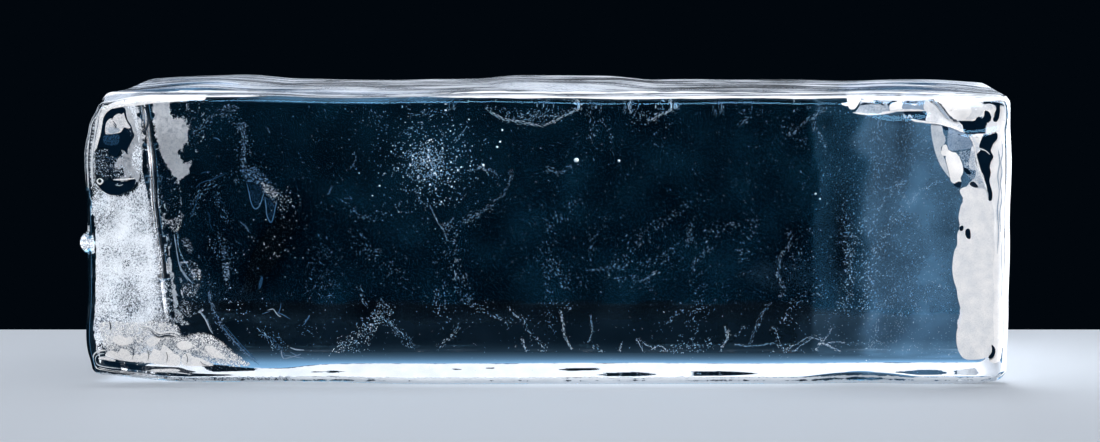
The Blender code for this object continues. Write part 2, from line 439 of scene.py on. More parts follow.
# areas of the faces: face, kind and outline as it is seen, across and down in turn
areas = {
    "hollowOnLeftEnd": (
        ("left", "clear", (97, 106, 106, 102.5, 122, 104, 130, 118, 132.5, 140, 127.5, 150, 126, 163, 134,
         176, 135, 182, 126, 193, 115, 197, 104, 193, 96, 184, 94, 150)),
    ),
    "tongueOnBack": (
        ("back", "flecked", (153, 98, 168, 100, 188, 100, 189.5, 107, 184, 118, 183.5, 117, 189, 127, 188.5,
         139, 182, 150, 177, 152, 183, 162, 191, 162, 190, 172, 186, 177, 177, 182, 171, 174, 163, 161, 158.5,
         149, 153, 131)),
        ("back", "marked", (168, 100, 184, 100, 187, 112, 182, 117, 174, 118, 169.5, 107)),
        ("back", "marked", (189, 104, 196, 102, 202, 112, 203, 124, 202, 138, 200, 146, 195, 153, 188, 150,
         188.5, 139, 189, 127, 186, 117)),
        ("back", "marked", (154, 150, 159, 152, 164, 163, 171, 175, 177, 182, 182, 195, 178, 215, 170, 222,
         164, 205, 158, 185)),
        ("back", "frost", (181, 265, 193, 262, 201, 285, 203, 308, 190, 314, 183, 300)),
        ("back", "marked", (181, 263, 195, 260, 203, 285, 204, 310, 190, 316, 183, 300)),
        ("back", "clear", (174, 262, 180, 262, 183, 300, 186, 312, 178, 306)),
        ("back", "clear", (176, 323, 186, 326, 190, 334, 182, 337, 175, 332)),
        ("left", "flecked", (80, 224, 90, 224, 93, 252, 80, 254)),
    ),
    "specksAtRight": (
        ("back", "clear", (966, 230, 970, 229, 971, 238, 967, 239)),
        ("back", "clear", (961, 227, 964, 226, 963, 231, 960, 231)),
        ("right", "clear", (992, 345, 996, 350, 994, 357, 988, 359)),
    ),
    "marksOnFoot": (
        ("foot", "frost", (100, 351, 225, 350, 257, 364, 257, 367.5, 203, 371.5, 150, 368, 103, 361)),
        ("foot", "marked", (188, 351, 225, 350, 257, 364, 250, 367, 215, 369, 196, 362)),
        ("foot", "clear", (100, 361.5, 125, 365.2, 150, 368.2, 176, 369.4, 203, 372, 235, 374, 250, 376, 203,
         377.4, 160, 375.4, 130, 372, 104, 368)),
        ("foot", "marked", (145, 370, 175, 371, 200, 374, 175, 374.6, 150, 372.6)),
        ("foot", "marked", (314, 368, 319, 367.2, 322, 368.4, 319, 370, 315, 369.6)),
        ("foot", "marked", (325, 367.6, 334, 367.2, 342, 368.6, 336, 370.2, 327, 370)),
        ("foot", "marked", (556, 369.8, 566, 368.4, 585, 367.8, 601, 368.2, 596, 370, 574, 371)),
        ("foot", "marked", (598, 375.6, 606, 373, 632, 372.2, 650, 373.2, 662, 375, 645, 376.6, 612, 377)),
        ("foot", "marked", (690, 374.6, 696, 371.4, 722, 371, 745, 372, 758, 373.2, 750, 375, 738, 375, 708,
         375.8)),
        ("foot", "marked", (745, 376.6, 752, 374, 772, 373.4, 788, 375, 774, 377, 755, 377.4)),
        ("foot", "clear", (452, 368.2, 460, 367.8, 462, 369, 455, 369.4)),
        ("foot", "clear", (485, 367, 494, 367, 495, 368, 487, 368.2)),
        ("foot", "marked", (795, 376.8, 812, 374.4, 830, 374, 842, 375.6, 846, 377.6, 826, 378)),
        ("foot", "marked", (866, 376.5, 872, 371.6, 888, 370, 905, 371.4, 920, 370, 938, 370, 947, 372.4, 944,
         375, 930, 377, 905, 378.4, 885, 378)),
        ("foot", "clear", (905, 374.4, 915, 371.8, 926, 372, 920, 375, 909, 376.4)),
        ("foot", "clear", (936, 374.6, 944, 373.2, 953, 375, 957, 377, 946, 378.4, 938, 377)),
        ("foot", "marked", (955, 371, 975, 368.4, 980, 373, 972, 376, 958, 375)),
    ),
}


def noiseAt(co, size, shift=0):
    return np.array([noise.noise(Vector(place) / size + Vector((shift, 0, 0))) for place in co])


def outlineField(a, b, outline):
    # how far inside a closed outline each point is, in mm, and below zero outside it
    inside = np.zeros(len(a), bool)
    nearest = np.full(len(a), np.inf)
    for (a0, b0), (a1, b1) in zip(outline, outline[1:] + outline[:1]):
        runA, runB = a1 - a0, b1 - b0
        share = np.clip(((a - a0) * runA + (b - b0) * runB) / (runA ** 2 + runB ** 2), 0, 1)
        nearest = np.minimum(nearest, np.hypot(a - a0 - share * runA, b - b0 - share * runB))
        if runB:
            inside ^= ((b0 > b) != (b1 > b)) & (a < a0 + (b - b0) * runA / runB)
    return np.where(inside, nearest, -nearest)


def readSkin(mesh):
    # every point's place in mm, its normal, the face it is on, and a slow and a quick noise there
    count = len(mesh.vertices)
    co = np.empty(count * 3)
    normal = np.empty(count * 3)
    mesh.vertices.foreach_get("co", co)
    mesh.vertices.foreach_get("normal", normal)
    co = co.reshape(-1, 3) / mm
    x, y, z = co.T
    nx, ny, nz = normal.reshape(-1, 3).T
    flat, endFlat = frost["faceNormal"]
    faces = {"back": ny > flat, "front": ny < -flat, "left": nx < -endFlat, "right": nx > endFlat,
             "top": nz > flat, "foot": nz < -flat}
    across = {"back": (x, z), "front": (x, z), "left": (y, z), "right": (y, z), "top": (x, y), "foot": (x, y)}
    fromBlister = np.hypot(y - frost["blister"][0], z - frost["blister"][1])
    return SimpleNamespace(
        count=count, co=co, x=x, y=y, z=z, nx=nx, ny=ny, nz=nz, faces=faces, across=across,
        behind=y - lowCorner.y / mm, toBack=highCorner.y / mm - y, below=blank["height"] / mm - z,
        onBlister=fromBlister < frost["blister"][2], slow=noiseAt(co, 5), quick=noiseAt(co, 1.6, 40))


leftFrost = {  # how speckled the left end is, and where it thins out in front of its back edge
    "base": 0.56, "highUp": 0.22, "highFrom": 21, "highOver": 6,
    "nearFront": 0.1, "frontFrom": 12, "frontOver": 14, "nearFoot": 0.1, "footFrom": 9, "footOver": 5,
    "drift": 0.3, "driftSize": 2.5, "calm": 0.12,
    "calmBands": ((16, 4.5, 1), (29.5, 1.6, 0.6), (0, 3, 1)),  # height, reach in mm and how calm
    "most": 1.1, "right": -35, "thinnerBefore": 7, "thinner": 1.1, "onFoot": 0.3,
    "bareWide": 7, "bareFrom": 16, "bareOver": 9, "bareDrift": 1.5,
}
leftCorner = {  # the upright edge between the left end and the back: painted shade above, grainy near the foot
    "normal": (-0.93, -0.08), "wide": 3.2, "right": -45, "darkFrom": 10, "darkWave": 3,
    "patchy": (0.6, -0.12), "side": -0.45, "grain": (0.5, 0.7), "speckled": 1.1,
}


def speckleLeftEnd(skin):
    nearFront = np.clip((leftFrost["frontFrom"] - skin.behind) / leftFrost["frontOver"], 0, 1)
    nearFoot = np.clip((leftFrost["footFrom"] - skin.z) / leftFrost["footOver"], 0, 1)
    high = np.clip((skin.z - leftFrost["highFrom"]) / leftFrost["highOver"], 0, 1)
    # the end is seen at a slant from the front, so its patches are drawn out along the depth
    skin.drift = noiseAt(skin.co / (1, frost["slant"], 1), leftFrost["driftSize"], 11)
    calm = sum(much * np.exp(-((skin.z - height) / reach) ** 2)
               for height, reach, much in leftFrost["calmBands"])
    speckled = (leftFrost["base"] + leftFrost["highUp"] * high + leftFrost["nearFront"] * nearFront
                + leftFrost["nearFoot"] * nearFoot - leftFrost["calm"] * calm
                + leftFrost["drift"] * skin.drift)
    speckled = np.clip(np.where(skin.x < leftFrost["right"], speckled, 0), 0, leftFrost["most"])
    thinner = np.clip(1 - skin.toBack / leftFrost["thinnerBefore"], 0, 1) ** 1.5
    speckled += np.where(skin.faces["left"], leftFrost["thinner"] * thinner, 0)
    speckled[skin.faces["foot"]] *= leftFrost["onFoot"]
    return speckled


def paintLeftCorner(skin, field, speckled):
    # returns where the corner gets painted shade
    low, high = leftCorner["normal"]
    corner = (skin.nx < high) & (skin.nx > low)
    corner &= (skin.toBack < leftCorner["wide"]) & (skin.x < leftCorner["right"])
    quickShare, least = leftCorner["patchy"]
    dark = (skin.slow + quickShare * skin.quick > least) | (skin.nx < leftCorner["side"])
    dark &= corner & (skin.z > leftCorner["darkFrom"] + leftCorner["darkWave"] * skin.quick)
    bareWide = leftFrost["bareWide"] * np.clip((skin.z - leftFrost["bareFrom"]) / leftFrost["bareOver"], 0, 1)
    field[skin.faces["left"] & (skin.toBack < bareWide + leftFrost["bareDrift"] * skin.drift)] = frost["none"]
    grainy = corner & ~dark
    base, wave = leftCorner["grain"]
    field[grainy] = np.minimum(field, base + wave * skin.quick)[grainy]
    speckled[grainy] = leftCorner["speckled"]
    return dark


def paintAreas(skin, field, speckled):
    for face, kind, spots in allRows(areas):
        outline = [seenOn(face, across, down) for across, down in inPairs(spots)]
        chosen = skin.faces[face]
        depth = outlineField(*[axis[chosen] for axis in skin.across[face]], outline)
        if kind in grains:
            speckled[chosen] = np.where(depth > 0, grains[kind], speckled[chosen])
        if kind == "clear":
            field[chosen] = np.minimum(field[chosen], -depth)
        else:
            field[chosen] = np.maximum(field[chosen], depth)
    blister = (skin.x < frost["blisterLeftOf"]) & skin.onBlister
    field[blister] = frost["whole"]
    speckled[blister] = grains["speckled"]


def paintEdgeLines(skin, field, speckled, grey):
    # painted highlights: the wavy white lines of frost along the long front edges, and the rim of the foot
    uneven = skin.quick + skin.slow
    upper = (skin.nz > 0.25) & (np.abs(skin.nx) < 0.7)
    for centre, halfWidth, wave in frost["topLines"]:
        off = np.abs(skin.behind - skin.below - centre - wave * uneven)
        greyer, wider = frost["topLineFades"]
        line = halfWidth * (1 - greyer * grey) * (1 + wider * skin.slow) - off
        field[upper] = np.maximum(field, line)[upper]
        speckled[upper & (line > frost["topLineReach"])] = frost["topLineSpeckled"]
    centre, halfWidth, wave = frost["footLine"]
    off = np.abs(skin.behind - skin.z - centre - wave * uneven)
    lower = (skin.nz < -0.1) & (skin.ny < -0.1)
    base = np.where(skin.faces["foot"], field, frost["none"])
    field[lower] = np.maximum(base, halfWidth * (1 + frost["footLineWider"] * skin.quick) - off)[lower]
    rim = (skin.ny < -0.3) & (skin.nz < -0.05) & (np.abs(skin.nx) < 0.6)
    field[rim] = np.maximum(field, frost["footRim"] + frost["footRimWave"] * uneven - skin.z)[rim]


hazeAndPaintedShade = {  # painted shade as thick dark haze, in mm: low on the back, which would mirror the bright foot, and on the foot
    "backTo": 7.5, "backOver": 4.5, "backThick": 1.8, "litLeft": 0.5, "litTo": 34,
    # gleam: a painted gleam that keeps the painted shade paler just over the foot
    "gleam": 0.08, "gleamReach": 0.6, "footThick": 2.6, "footReach": 4.8, "edgeThick": 1.6, "edgeTo": 26,
    "laneThick": 1.6, "laneDarker": 0.35, "laneWave": 1.5, "greyThick": 0.45, "greyPale": 0.7,
    "lowBelow": 8,
}


def paintHazeAndShade(skin, darkCorner, grey):
    # how thick the haze is, how pale or, below zero, how dark its painted shade is, and how clear the lanes
    # on the top are
    back, top = skin.faces["back"], skin.faces["top"]
    haze, pale = hazeOnBack(skin)
    # low on the back, painted shade (thick dark haze) covers the mirror image of the bright foot; it is paler
    # where there is haze, and a painted gleam lies just over the foot
    lowBack = (skin.ny > 0.02) & (skin.z < hazeAndPaintedShade["lowBelow"])
    thick = np.clip((hazeAndPaintedShade["backTo"] - skin.z) / hazeAndPaintedShade["backOver"], 0, 1)
    thick = np.maximum(haze, hazeAndPaintedShade["backThick"] * thick * thick * (3 - 2 * thick))
    lit = haze * np.where(skin.x < hazeAndPaintedShade["litTo"], hazeAndPaintedShade["litLeft"], 1)
    lit += hazeAndPaintedShade["gleam"] * np.exp(-np.maximum(skin.z, 0) / hazeAndPaintedShade["gleamReach"])
    pale = np.where(lowBack & (thick > haze), np.minimum(pale, lit / thick - 1), pale)
    haze = np.where(lowBack, thick, haze)
    haze[~back & ~lowBack] = 0
    pale[~back & ~lowBack] = 0
    # two upright edges at the left would gleam; painted shade, a thick dark haze, covers them
    frontEdge = (skin.nx < -0.3) & (skin.ny < -0.3) & (skin.z < hazeAndPaintedShade["edgeTo"]) & ~skin.onBlister
    haze[darkCorner | frontEdge] = hazeAndPaintedShade["edgeThick"]
    pale[darkCorner | frontEdge] = -1
    # behind its frosted strip the foot gets painted shade, a thick haze that is darker towards the back
    pastFrost = np.maximum(0, skin.behind - frost["footTo"])
    farFoot = (skin.nz < -0.6) & (skin.ny < 0.02) & (pastFrost > 0)
    haze[farFoot] = hazeAndPaintedShade["footThick"]
    paleFoot = np.maximum(np.exp(-pastFrost / hazeAndPaintedShade["footReach"]), lit / hazeAndPaintedShade["backThick"]) - 1
    pale[farFoot] = paleFoot[farFoot]
    clearer = np.zeros(skin.count)
    for (atX, atY), (reachX, reachY), more in frost["topLanes"]:
        aside = (skin.behind - atY - hazeAndPaintedShade["laneWave"] * skin.slow) / reachY
        lane = more * np.exp(-((skin.x - atX) / reachX) ** 4 - aside ** 2)
        clearer[top] = np.maximum(clearer, lane)[top]
    haze += hazeAndPaintedShade["laneThick"] * clearer
    pale -= hazeAndPaintedShade["laneDarker"] * clearer
    upper = (skin.nz > 0.25) & (skin.nz < 0.95)
    haze[upper] = np.maximum(haze, hazeAndPaintedShade["greyThick"] * grey)[upper]
    pale[upper] = hazeAndPaintedShade["greyPale"]
    return haze, pale, clearer


def hazeOnBack(skin):
    (midX, midZ), halfLong, halfWide, slant = backHaze["darkPlace"]
    cos, sin = math.cos(math.radians(slant)), math.sin(math.radians(slant))
    alongDark = ((skin.x - midX) * cos + (skin.z - midZ) * sin) / halfLong
    acrossDark = ((skin.z - midZ) * cos - (skin.x - midX) * sin) / halfWide
    drift = backHaze["drift"] * skin.slow
    dark = np.clip(1.5 - np.hypot(alongDark, acrossDark) + drift, 0, 1)
    amount = backHaze["base"] * (1 - dark) * (1 + drift)
    pastLeft = np.clip((skin.x - backHaze["paleFrom"]) / backHaze["paleOver"], 0, 1)
    pale = backHaze["footPale"] * skin.low * pastLeft
    for start, wave, width, more, paler in backHaze["steps"]:
        step = np.clip((skin.x - start - wave * skin.slow * 2) / width, 0, 1)
        step = step * step * (3 - 2 * step)
        amount += more * step
        pale += paler * step
    slowShare, quickShare = backHaze["uneven"]
    uneven = 1 + slowShare * skin.slow + quickShare * skin.quick
    for (atX, atZ), (reachX, reachZ), more in backHaze["clouds"]:
        uneven += more * np.exp(-((skin.x - atX) / reachX) ** 2 - ((skin.z - atZ) / reachZ) ** 2)
    return amount * np.clip(uneven, *backHaze["limits"]), np.clip(pale, 0, 1)


topStreaks = {  # how thick the frozen streaks lie on the top
    "base": 0.56, "more": 0.2, "uneven": 0.3, "least": 0.35, "laneThinner": 0.95,
    "levelFrom": 0.75, "levelOver": 0.2,  # how squarely the face must look up
    "bright": ((-44, 8), (56, 10)),  # where they lie thicker: place and reach in mm
}


def edgeOnBack(start, spots, rest):
    seen = [seenOn("back", across, down)[::-1] for across, down in inPairs(spots)]
    return zip(*start, *seen, *rest)


def paintCover(mesh):
    # red: how far inside the frost, in mm; green: how speckled; blue: haze, and painted shade; alpha: how
    # pale the haze is, and below zero how dark the painted shade is
    skin = readSkin(mesh)
    skin.low = np.exp(-np.maximum(skin.z, 0) / backHaze["footReach"])
    field = np.full(skin.count, frost["none"])
    back, left, right, foot = [skin.faces[name] for name in ("back", "left", "right", "foot")]
    rightEdge = np.interp(skin.z, *edgeOnBack(*frost["backRightEdge"]))
    leftEdge = np.interp(skin.z, *edgeOnBack(*frost["backLeftEdge"]))
    field[back] = np.maximum(skin.x - rightEdge, leftEdge - skin.x)[back]
    field[left] = np.minimum(frost["whole"], skin.behind - frost["clearStripLeft"] + skin.slow)[left]
    field[right] = frost["whole"]
    farEdge = frost["footTo"] + frost["footWave"] * skin.slow
    strip = np.minimum(skin.behind - frost["footFrom"], farEdge - skin.behind)
    field[foot] = frost["footShare"] * strip[foot]
    speckled = speckleLeftEnd(skin)
    darkCorner = paintLeftCorner(skin, field, speckled)
    paintAreas(skin, field, speckled)
    greyMiddle, greyReach = frost["greyStretch"]
    grey = np.clip(3 - np.abs(skin.x - greyMiddle) / greyReach, 0, 1)
    paintEdgeLines(skin, field, speckled, grey)
    haze, pale, clearer = paintHazeAndShade(skin, darkCorner, grey)
    cover = mesh.attributes.new("cover", "FLOAT_COLOR", "POINT")
    values = np.stack((field, speckled, haze, pale), axis=1).astype(np.float32)
    cover.data.foreach_set("color", values.ravel())
    bright = sum(np.exp(-((skin.x - place) / reach) ** 2) for place, reach in topStreaks["bright"])
    thick = topStreaks["base"] + topStreaks["more"] * bright + topStreaks["uneven"] * skin.slow
    level = np.clip((skin.nz - topStreaks["levelFrom"]) / topStreaks["levelOver"], 0, 1)
    thick = np.clip(thick, topStreaks["least"], 1) * level
    streaks = thick * (1 - topStreaks["laneThinner"] * clearer)
    blur = np.where(back, backHaze["blur"] + backHaze["blurAtFoot"] * skin.low, 0)
    for name, amount in (("top", streaks), ("blur", blur)):
        attribute = mesh.attributes.new(name, "FLOAT", "POINT")
        attribute.data.foreach_set("value", amount.astype(np.float32))


def makeIceBody():
    bm = makeBlank()
    meltBlank(bm)
    mesh = toMesh(bm, "ice_body")
    mesh.shade_smooth()
    paintCover(mesh)
    mesh.materials.append(makeClearIce())
    return addObject("ice_body", mesh)


clearIce = {
    "ior": 1.31, "frostRoughness": 0.6, "frostWeight": 0.96, "hazeWeight": 0.6,
    "frostColour": "#f1f3f5", "thinFrostColour": "#8c9fb2",
    # the darkest of these colours is for painted shade
    "hazeColour": "#7fb0d6", "thinHazeColour": "#2b8fc0", "paintedShadeColour": "#020c15",
    "gleamColour": "#8ed2ff",
    "edgeNoiseSize": 0.9 * mm, "edgeWobble": 0.7, "edgeRag": (0.7, 0.22), "edgeSoft": (-0.08, 0.12),
    "speckleSize": 0.26 * mm, "speckleStretch": 4.4, "driftSize": 2.2 * mm,
    "gapWidth": (0.145, -0.055), "gapSoft": 0.035,  # how wide for each step of speckled, and from what start
    # how each step of speckled changes the thickest frost, the thinnest and its whiteness
    "thickest": -0.16, "thinnest": (-0.6, 0.64), "duller": -0.3,
    "streakLength": 22 * mm, "streakWidth": 1.7 * mm, "streakThin": 0.36,
    "mottleSize": 6 * mm, "mottle": (0.6, 1.1),
    "mirror": (-0.6, 0.5),  # how thick haze weakens the reflection, and the reflection without it
}


def addFrostNodes(tree, place, depthIn, speckled):
    # frost: a ragged edge, and winding clear gaps where it is speckled
    edgeNoise = addNoise(tree, place, 1 / clearIce["edgeNoiseSize"], Detail=4.0, Roughness=0.6)
    most = clearIce["edgeWobble"]
    wobble = addMap(tree, edgeNoise, 0.3, 0.7, -most, most, clamp=False)
    rag = addMath(tree, "MULTIPLY_ADD", speckled, *clearIce["edgeRag"])
    wobbled = addMath(tree, "MULTIPLY_ADD", wobble, rag, depthIn)
    frostMask = addMap(tree, wobbled, *clearIce["edgeSoft"], interpolation_type="SMOOTHSTEP")
    fine = 1 / clearIce["speckleSize"]
    stretch = addNode(tree, "ShaderNodeMapping", {}, {
        "Vector": place, "Scale": (fine, fine / clearIce["speckleStretch"], fine)})
    grain = addNoise(tree, stretch, 1.0, Detail=1.5, Roughness=0.5, Distortion=0.8)
    ridge = addMath(tree, "SUBTRACT", grain, 0.5)
    fromRidge = addMath(tree, "ABSOLUTE", ridge)
    gap = addMath(tree, "MULTIPLY_ADD", speckled, *clearIce["gapWidth"])
    gapTo = addMath(tree, "ADD", gap, clearIce["gapSoft"])
    solid = addMap(tree, fromRidge, gap, gapTo, interpolation_type="SMOOTHSTEP")
    drifts = addNoise(tree, stretch, clearIce["speckleSize"] / clearIce["driftSize"], Detail=3.0)
    rich = addMap(tree, drifts, 0.35, 0.65, 0.92, 1.0)
    thickest = addMath(tree, "MULTIPLY_ADD", speckled, clearIce["thickest"], rich)
    thinnest = addMath(tree, "MULTIPLY_ADD", speckled, *clearIce["thinnest"], clamp=True)
    thick = addMap(tree, solid, 0.0, 1.0, thinnest, thickest)
    return addMath(tree, "MULTIPLY", frostMask, thick)


def addStreakNodes(tree, place, top):
    # streaks along the top where water ran and froze
    along, acrossIt = 1 / clearIce["streakLength"], 1 / clearIce["streakWidth"]
    stretch = addNode(tree, "ShaderNodeMapping", {}, {"Vector": place, "Scale": (along, acrossIt, along)})
    streakNoise = addNoise(tree, stretch, 1.0, Detail=5.0, Roughness=0.6)
    streaks = addMap(tree, streakNoise, 0.4, 0.6, clearIce["streakThin"], interpolation_type="SMOOTHSTEP")
    return addMath(tree, "MULTIPLY", streaks, top)


def addHazeNodes(tree, place, haze):
    # haze: fine cloudy ice
    mottle = addNoise(tree, place, 1 / clearIce["mottleSize"], Detail=6.0, Roughness=0.6)
    clouds = addMap(tree, mottle, 0.35, 0.65, *clearIce["mottle"])
    hazed = addMath(tree, "MULTIPLY", haze, clouds)
    return addMath(tree, "MULTIPLY", hazed, clearIce["hazeWeight"])


def addTintNodes(tree, allFrost, frostPart, hazePart, speckled, pale):
    # haze is blue where it is thin, pale where it is thick, and painted shade, dark, where its paleness is
    # below zero
    thinHaze, paleHaze, deep, dullFrost, whiteFrost = [fromHex(clearIce[name]) for name in (
        "thinHazeColour", "hazeColour", "paintedShadeColour", "thinFrostColour", "frostColour")]
    thickHaze = addMath(tree, "MULTIPLY", hazePart, 2.0, clamp=True)
    farFromZero = addMath(tree, "ABSOLUTE", pale)
    paleness = addMath(tree, "MAXIMUM", farFromZero, thickHaze)
    haze = mixColours(tree, paleness, thinHaze, paleHaze)
    paintedShade = addMath(tree, "MULTIPLY", pale, -1.0, clamp=True)
    hazeAndShadeTint = mixColours(tree, paintedShade, haze, deep)
    whiteness = addMath(tree, "MULTIPLY_ADD", speckled, clearIce["duller"], allFrost, clamp=True)
    frostTint = mixColours(tree, whiteness, dullFrost, whiteFrost)
    isFrost = addMath(tree, "GREATER_THAN", frostPart, hazePart)
    coverTint = mixColours(tree, isFrost, hazeAndShadeTint, frostTint)
    # a film of haze colours the whole, thin frost only its own share, and bare ice is left clear
    byHaze = addMath(tree, "MULTIPLY", hazePart, 600.0)
    anyCover = addMath(tree, "MULTIPLY_ADD", frostPart, 3.0, byHaze, clamp=True)
    return mixColours(tree, anyCover, (1, 1, 1, 1), coverTint)


def makeClearIce():
    # wet clear ice: the eye sees through it, and sees white only where frost or haze covers a face
    made, tree, shader = newMaterial("clear_sawn_ice")
    place = addNode(tree, "ShaderNodeTexCoord").node.outputs["Object"]
    coverNode = addNode(tree, "ShaderNodeAttribute", {"attribute_name": "cover"}).node
    parts = addNode(tree, "ShaderNodeSeparateColor", {}, {"Color": coverNode.outputs["Color"]}).node
    depthIn, speckled, haze = parts.outputs
    pale = coverNode.outputs["Alpha"]
    top, blur = [readLayer(tree, name) for name in ("top", "blur")]
    frosted = addFrostNodes(tree, place, depthIn, speckled)
    topFrost = addStreakNodes(tree, place, top)
    allFrost = addMath(tree, "MAXIMUM", frosted, topFrost)
    frostPart = addMath(tree, "MULTIPLY", allFrost, clearIce["frostWeight"])
    hazePart = addHazeNodes(tree, place, haze)
    covered = addMath(tree, "MAXIMUM", frostPart, hazePart)
    seeThrough = addMath(tree, "SUBTRACT", 1.0, covered)
    tint = addTintNodes(tree, allFrost, frostPart, hazePart, speckled, pale)
    roughness = addMath(tree, "MULTIPLY_ADD", frostPart, clearIce["frostRoughness"], blur)
    # a hazy face gives no clean mirror image
    mirror = addMath(tree, "MULTIPLY_ADD", hazePart, *clearIce["mirror"], clamp=True)
    setInputs(tree, shader, {
        "Base Color": tint, "Transmission Weight": seeThrough, "Roughness": roughness, "IOR": clearIce["ior"],
        "Specular IOR Level": mirror, "Specular Tint": fromHex(clearIce["gleamColour"])})
    return made


iceBody = makeIceBody()
iceBody.visible_shadow = False  # so the lamps reach what is frozen inside
litIce.objects.link(iceBody)
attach(iceBody, "root")
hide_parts("ice_block")


print("air bubbles and healed cracks")
airBubble = {"roughness": 0.55, "dim": "#5f9cc6", "bright": "#eaf4fc"}


def makeBubbleLook():
    # air trapped while the ice froze: each bubble throws the light back as a bright speck
    made, tree, shader = newMaterial("air_bubbles_in_ice")
    shade = readLayer(tree, "shade")
    tint = mixColours(tree, shade, fromHex(airBubble["dim"]), fromHex(airBubble["bright"]))
    setInputs(tree, shader, {"Base Color": tint, "Roughness": airBubble["roughness"]})
    return made


def makeBubbles(name, bubbles, sides):
    # bubbles: place, radius, direction it is drawn out in, how far it is drawn out, and shade, in mm
    bm = bmesh.new()
    radiusLayer = bm.verts.layers.float.new("radius")
    alongLayer = bm.verts.layers.float_vector.new("along")
    drawnLayer = bm.verts.layers.float.new("drawn")
    shadeLayer = bm.verts.layers.float.new("shade")
    for place, radius, along, drawn, shade in bubbles:
        vert = bm.verts.new(place * mm)
        vert[radiusLayer] = radius * mm
        vert[alongLayer] = along
        vert[drawnLayer] = drawn
        vert[shadeLayer] = shade
    points = toMesh(bm, name + "_points")
    source = addObject(name + "_points", points)
    tree = bpy.data.node_groups.new(name, "GeometryNodeTree")
    tree.interface.new_socket("Geometry", in_out="INPUT", socket_type="NodeSocketGeometry")
    tree.interface.new_socket("Geometry", in_out="OUTPUT", socket_type="NodeSocketGeometry")
    start = addNode(tree, "NodeGroupInput")
    if sides == "octahedron":
        ball = addNode(tree, "GeometryNodeMeshUVSphere", {}, {"Segments": 4, "Rings": 2, "Radius": 1.0})
    else:
        ball = addNode(tree, "GeometryNodeMeshIcoSphere", {}, {"Radius": 1.0, "Subdivisions": 2})
    radius, along, drawn = [
        addNode(tree, "GeometryNodeInputNamedAttribute", {"data_type": kind}, {"Name": layer})
        for layer, kind in (("radius", "FLOAT"), ("along", "FLOAT_VECTOR"), ("drawn", "FLOAT"))]
    long = addMath(tree, "MULTIPLY", radius, drawn)
    size = addNode(tree, "ShaderNodeCombineXYZ", {}, {"X": radius, "Y": radius, "Z": long})
    turn = addNode(tree, "FunctionNodeAlignRotationToVector", {"axis": "Z"}, {"Vector": along})
    placed = addNode(tree, "GeometryNodeInstanceOnPoints", {}, {
        "Points": start, "Instance": ball, "Rotation": turn, "Scale": size})
    real = addNode(tree, "GeometryNodeRealizeInstances", {}, {"Geometry": placed})
    end = addNode(tree, "NodeGroupOutput")
    tree.links.new(real, end.inputs[0])
    modifier = source.modifiers.new("bubbles", "NODES")
    modifier.node_group = tree
    bpy.context.view_layer.update()
    graph = bpy.context.evaluated_depsgraph_get()
    mesh = bpy.data.meshes.new_from_object(source.evaluated_get(graph))
    bpy.data.objects.remove(source)
    mesh.name = name
    mesh.materials.clear()
    return finishInside(name, mesh, bubbleLook)


def finishInside(name, mesh, material):
    mesh.materials.append(material)
    mesh.shade_smooth()
    piece = addObject(name, mesh)
    litIce.objects.link(piece)
    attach(piece, "root")
    return piece


bubbleLook = makeBubbleLook()
inside = {  # where bubbles may lie, in mm; the left end slants inwards to the back
    "left": -56.5, "right": 57.5, "front": -17.6, "back": 18.2, "foot": 1.2, "top": 36.6,
    "slant": 4.5, "slantFrom": -28,
}


def isInside(place):
    reach = (inside["slantFrom"] - place.x) / (blank["skewReach"] / mm)
    slant = inside["slant"] * smoothstep(reach) * (place.y / (blank["depth"] / mm) + 0.5)
    return (inside["left"] + slant < place.x < inside["right"] and inside["front"] < place.y < inside["back"]
            and inside["foot"] < place.z < inside["top"])


def randomDirection(rng):
    return Vector([rng.gauss(0, 1) for axis in range(3)]).normalized()


dust = {"tries": 200000, "sheetSize": 13, "sheetThin": 0.055, "radius": (0.026, 0.056), "brightShare": 0.2,
        "seed": 4, "anywhere": 0.022, "onSheet": 0.22, "onOtherSheet": 0.18, "hazyFrom": 30, "hazyOver": 16,
        "clearShare": 0.4, "hazyShare": 1.1}


def scatterDust():
    rng = random.Random(dust["seed"])
    found = []
    for attempt in range(dust["tries"]):
        place = Vector((rng.uniform(-57, 58), rng.uniform(-18, 18.5), rng.uniform(1, 37)))
        if not isInside(place):
            continue
        # fine bubbles lie on curved sheets, where cracks healed, and some anywhere
        sheet = abs(noise.noise(place / dust["sheetSize"]))
        other = abs(noise.noise(place / dust["sheetSize"] * 1.7 + Vector((40, 7, 3))))
        chance = dust["anywhere"]
        if sheet < dust["sheetThin"]:
            chance += dust["onSheet"] * (0.5 + noise.noise(place / 6))
        if other < dust["sheetThin"] * 0.6:
            chance += dust["onOtherSheet"] * (0.5 + noise.noise(place / 5 + Vector((9, 9, 9))))
        hazy = smoothstep((place.x - dust["hazyFrom"]) / dust["hazyOver"])
        chance *= dust["clearShare"] + dust["hazyShare"] * hazy
        if rng.random() > chance:
            continue
        low, high = dust["radius"]
        radius = low + (high - low) * rng.random() ** 2.5
        drawn = 1 if rng.random() < 0.85 else rng.uniform(1.5, 2.5)
        isBright = rng.random() < dust["brightShare"] * (1 + hazy)
        shade = rng.uniform(0.6, 1) if isBright else rng.uniform(0, 0.2)
        found.append((place, radius, randomDirection(rng), drawn, shade))
    return found


clusters = (  # bubbles close together: centre, spread in mm, how many, share of bright ones, their radii
    ((-17.6, 1, 28.2), (3.6, 2.6, 3.4), 1100, 0.15, (0.035, 0.12)),
    ((-39.6, -4, 17.0), (3.8, 2, 2.3), 38, 0.8, (0.038, 0.065)),
    ((-44.1, -4, 9.2), (2.0, 2, 2.4), 22, 0.8, (0.038, 0.065)),
    ((-37.0, -4, 23.5), (1.0, 1, 1.4), 30, 1.0, (0.035, 0.06)),
)


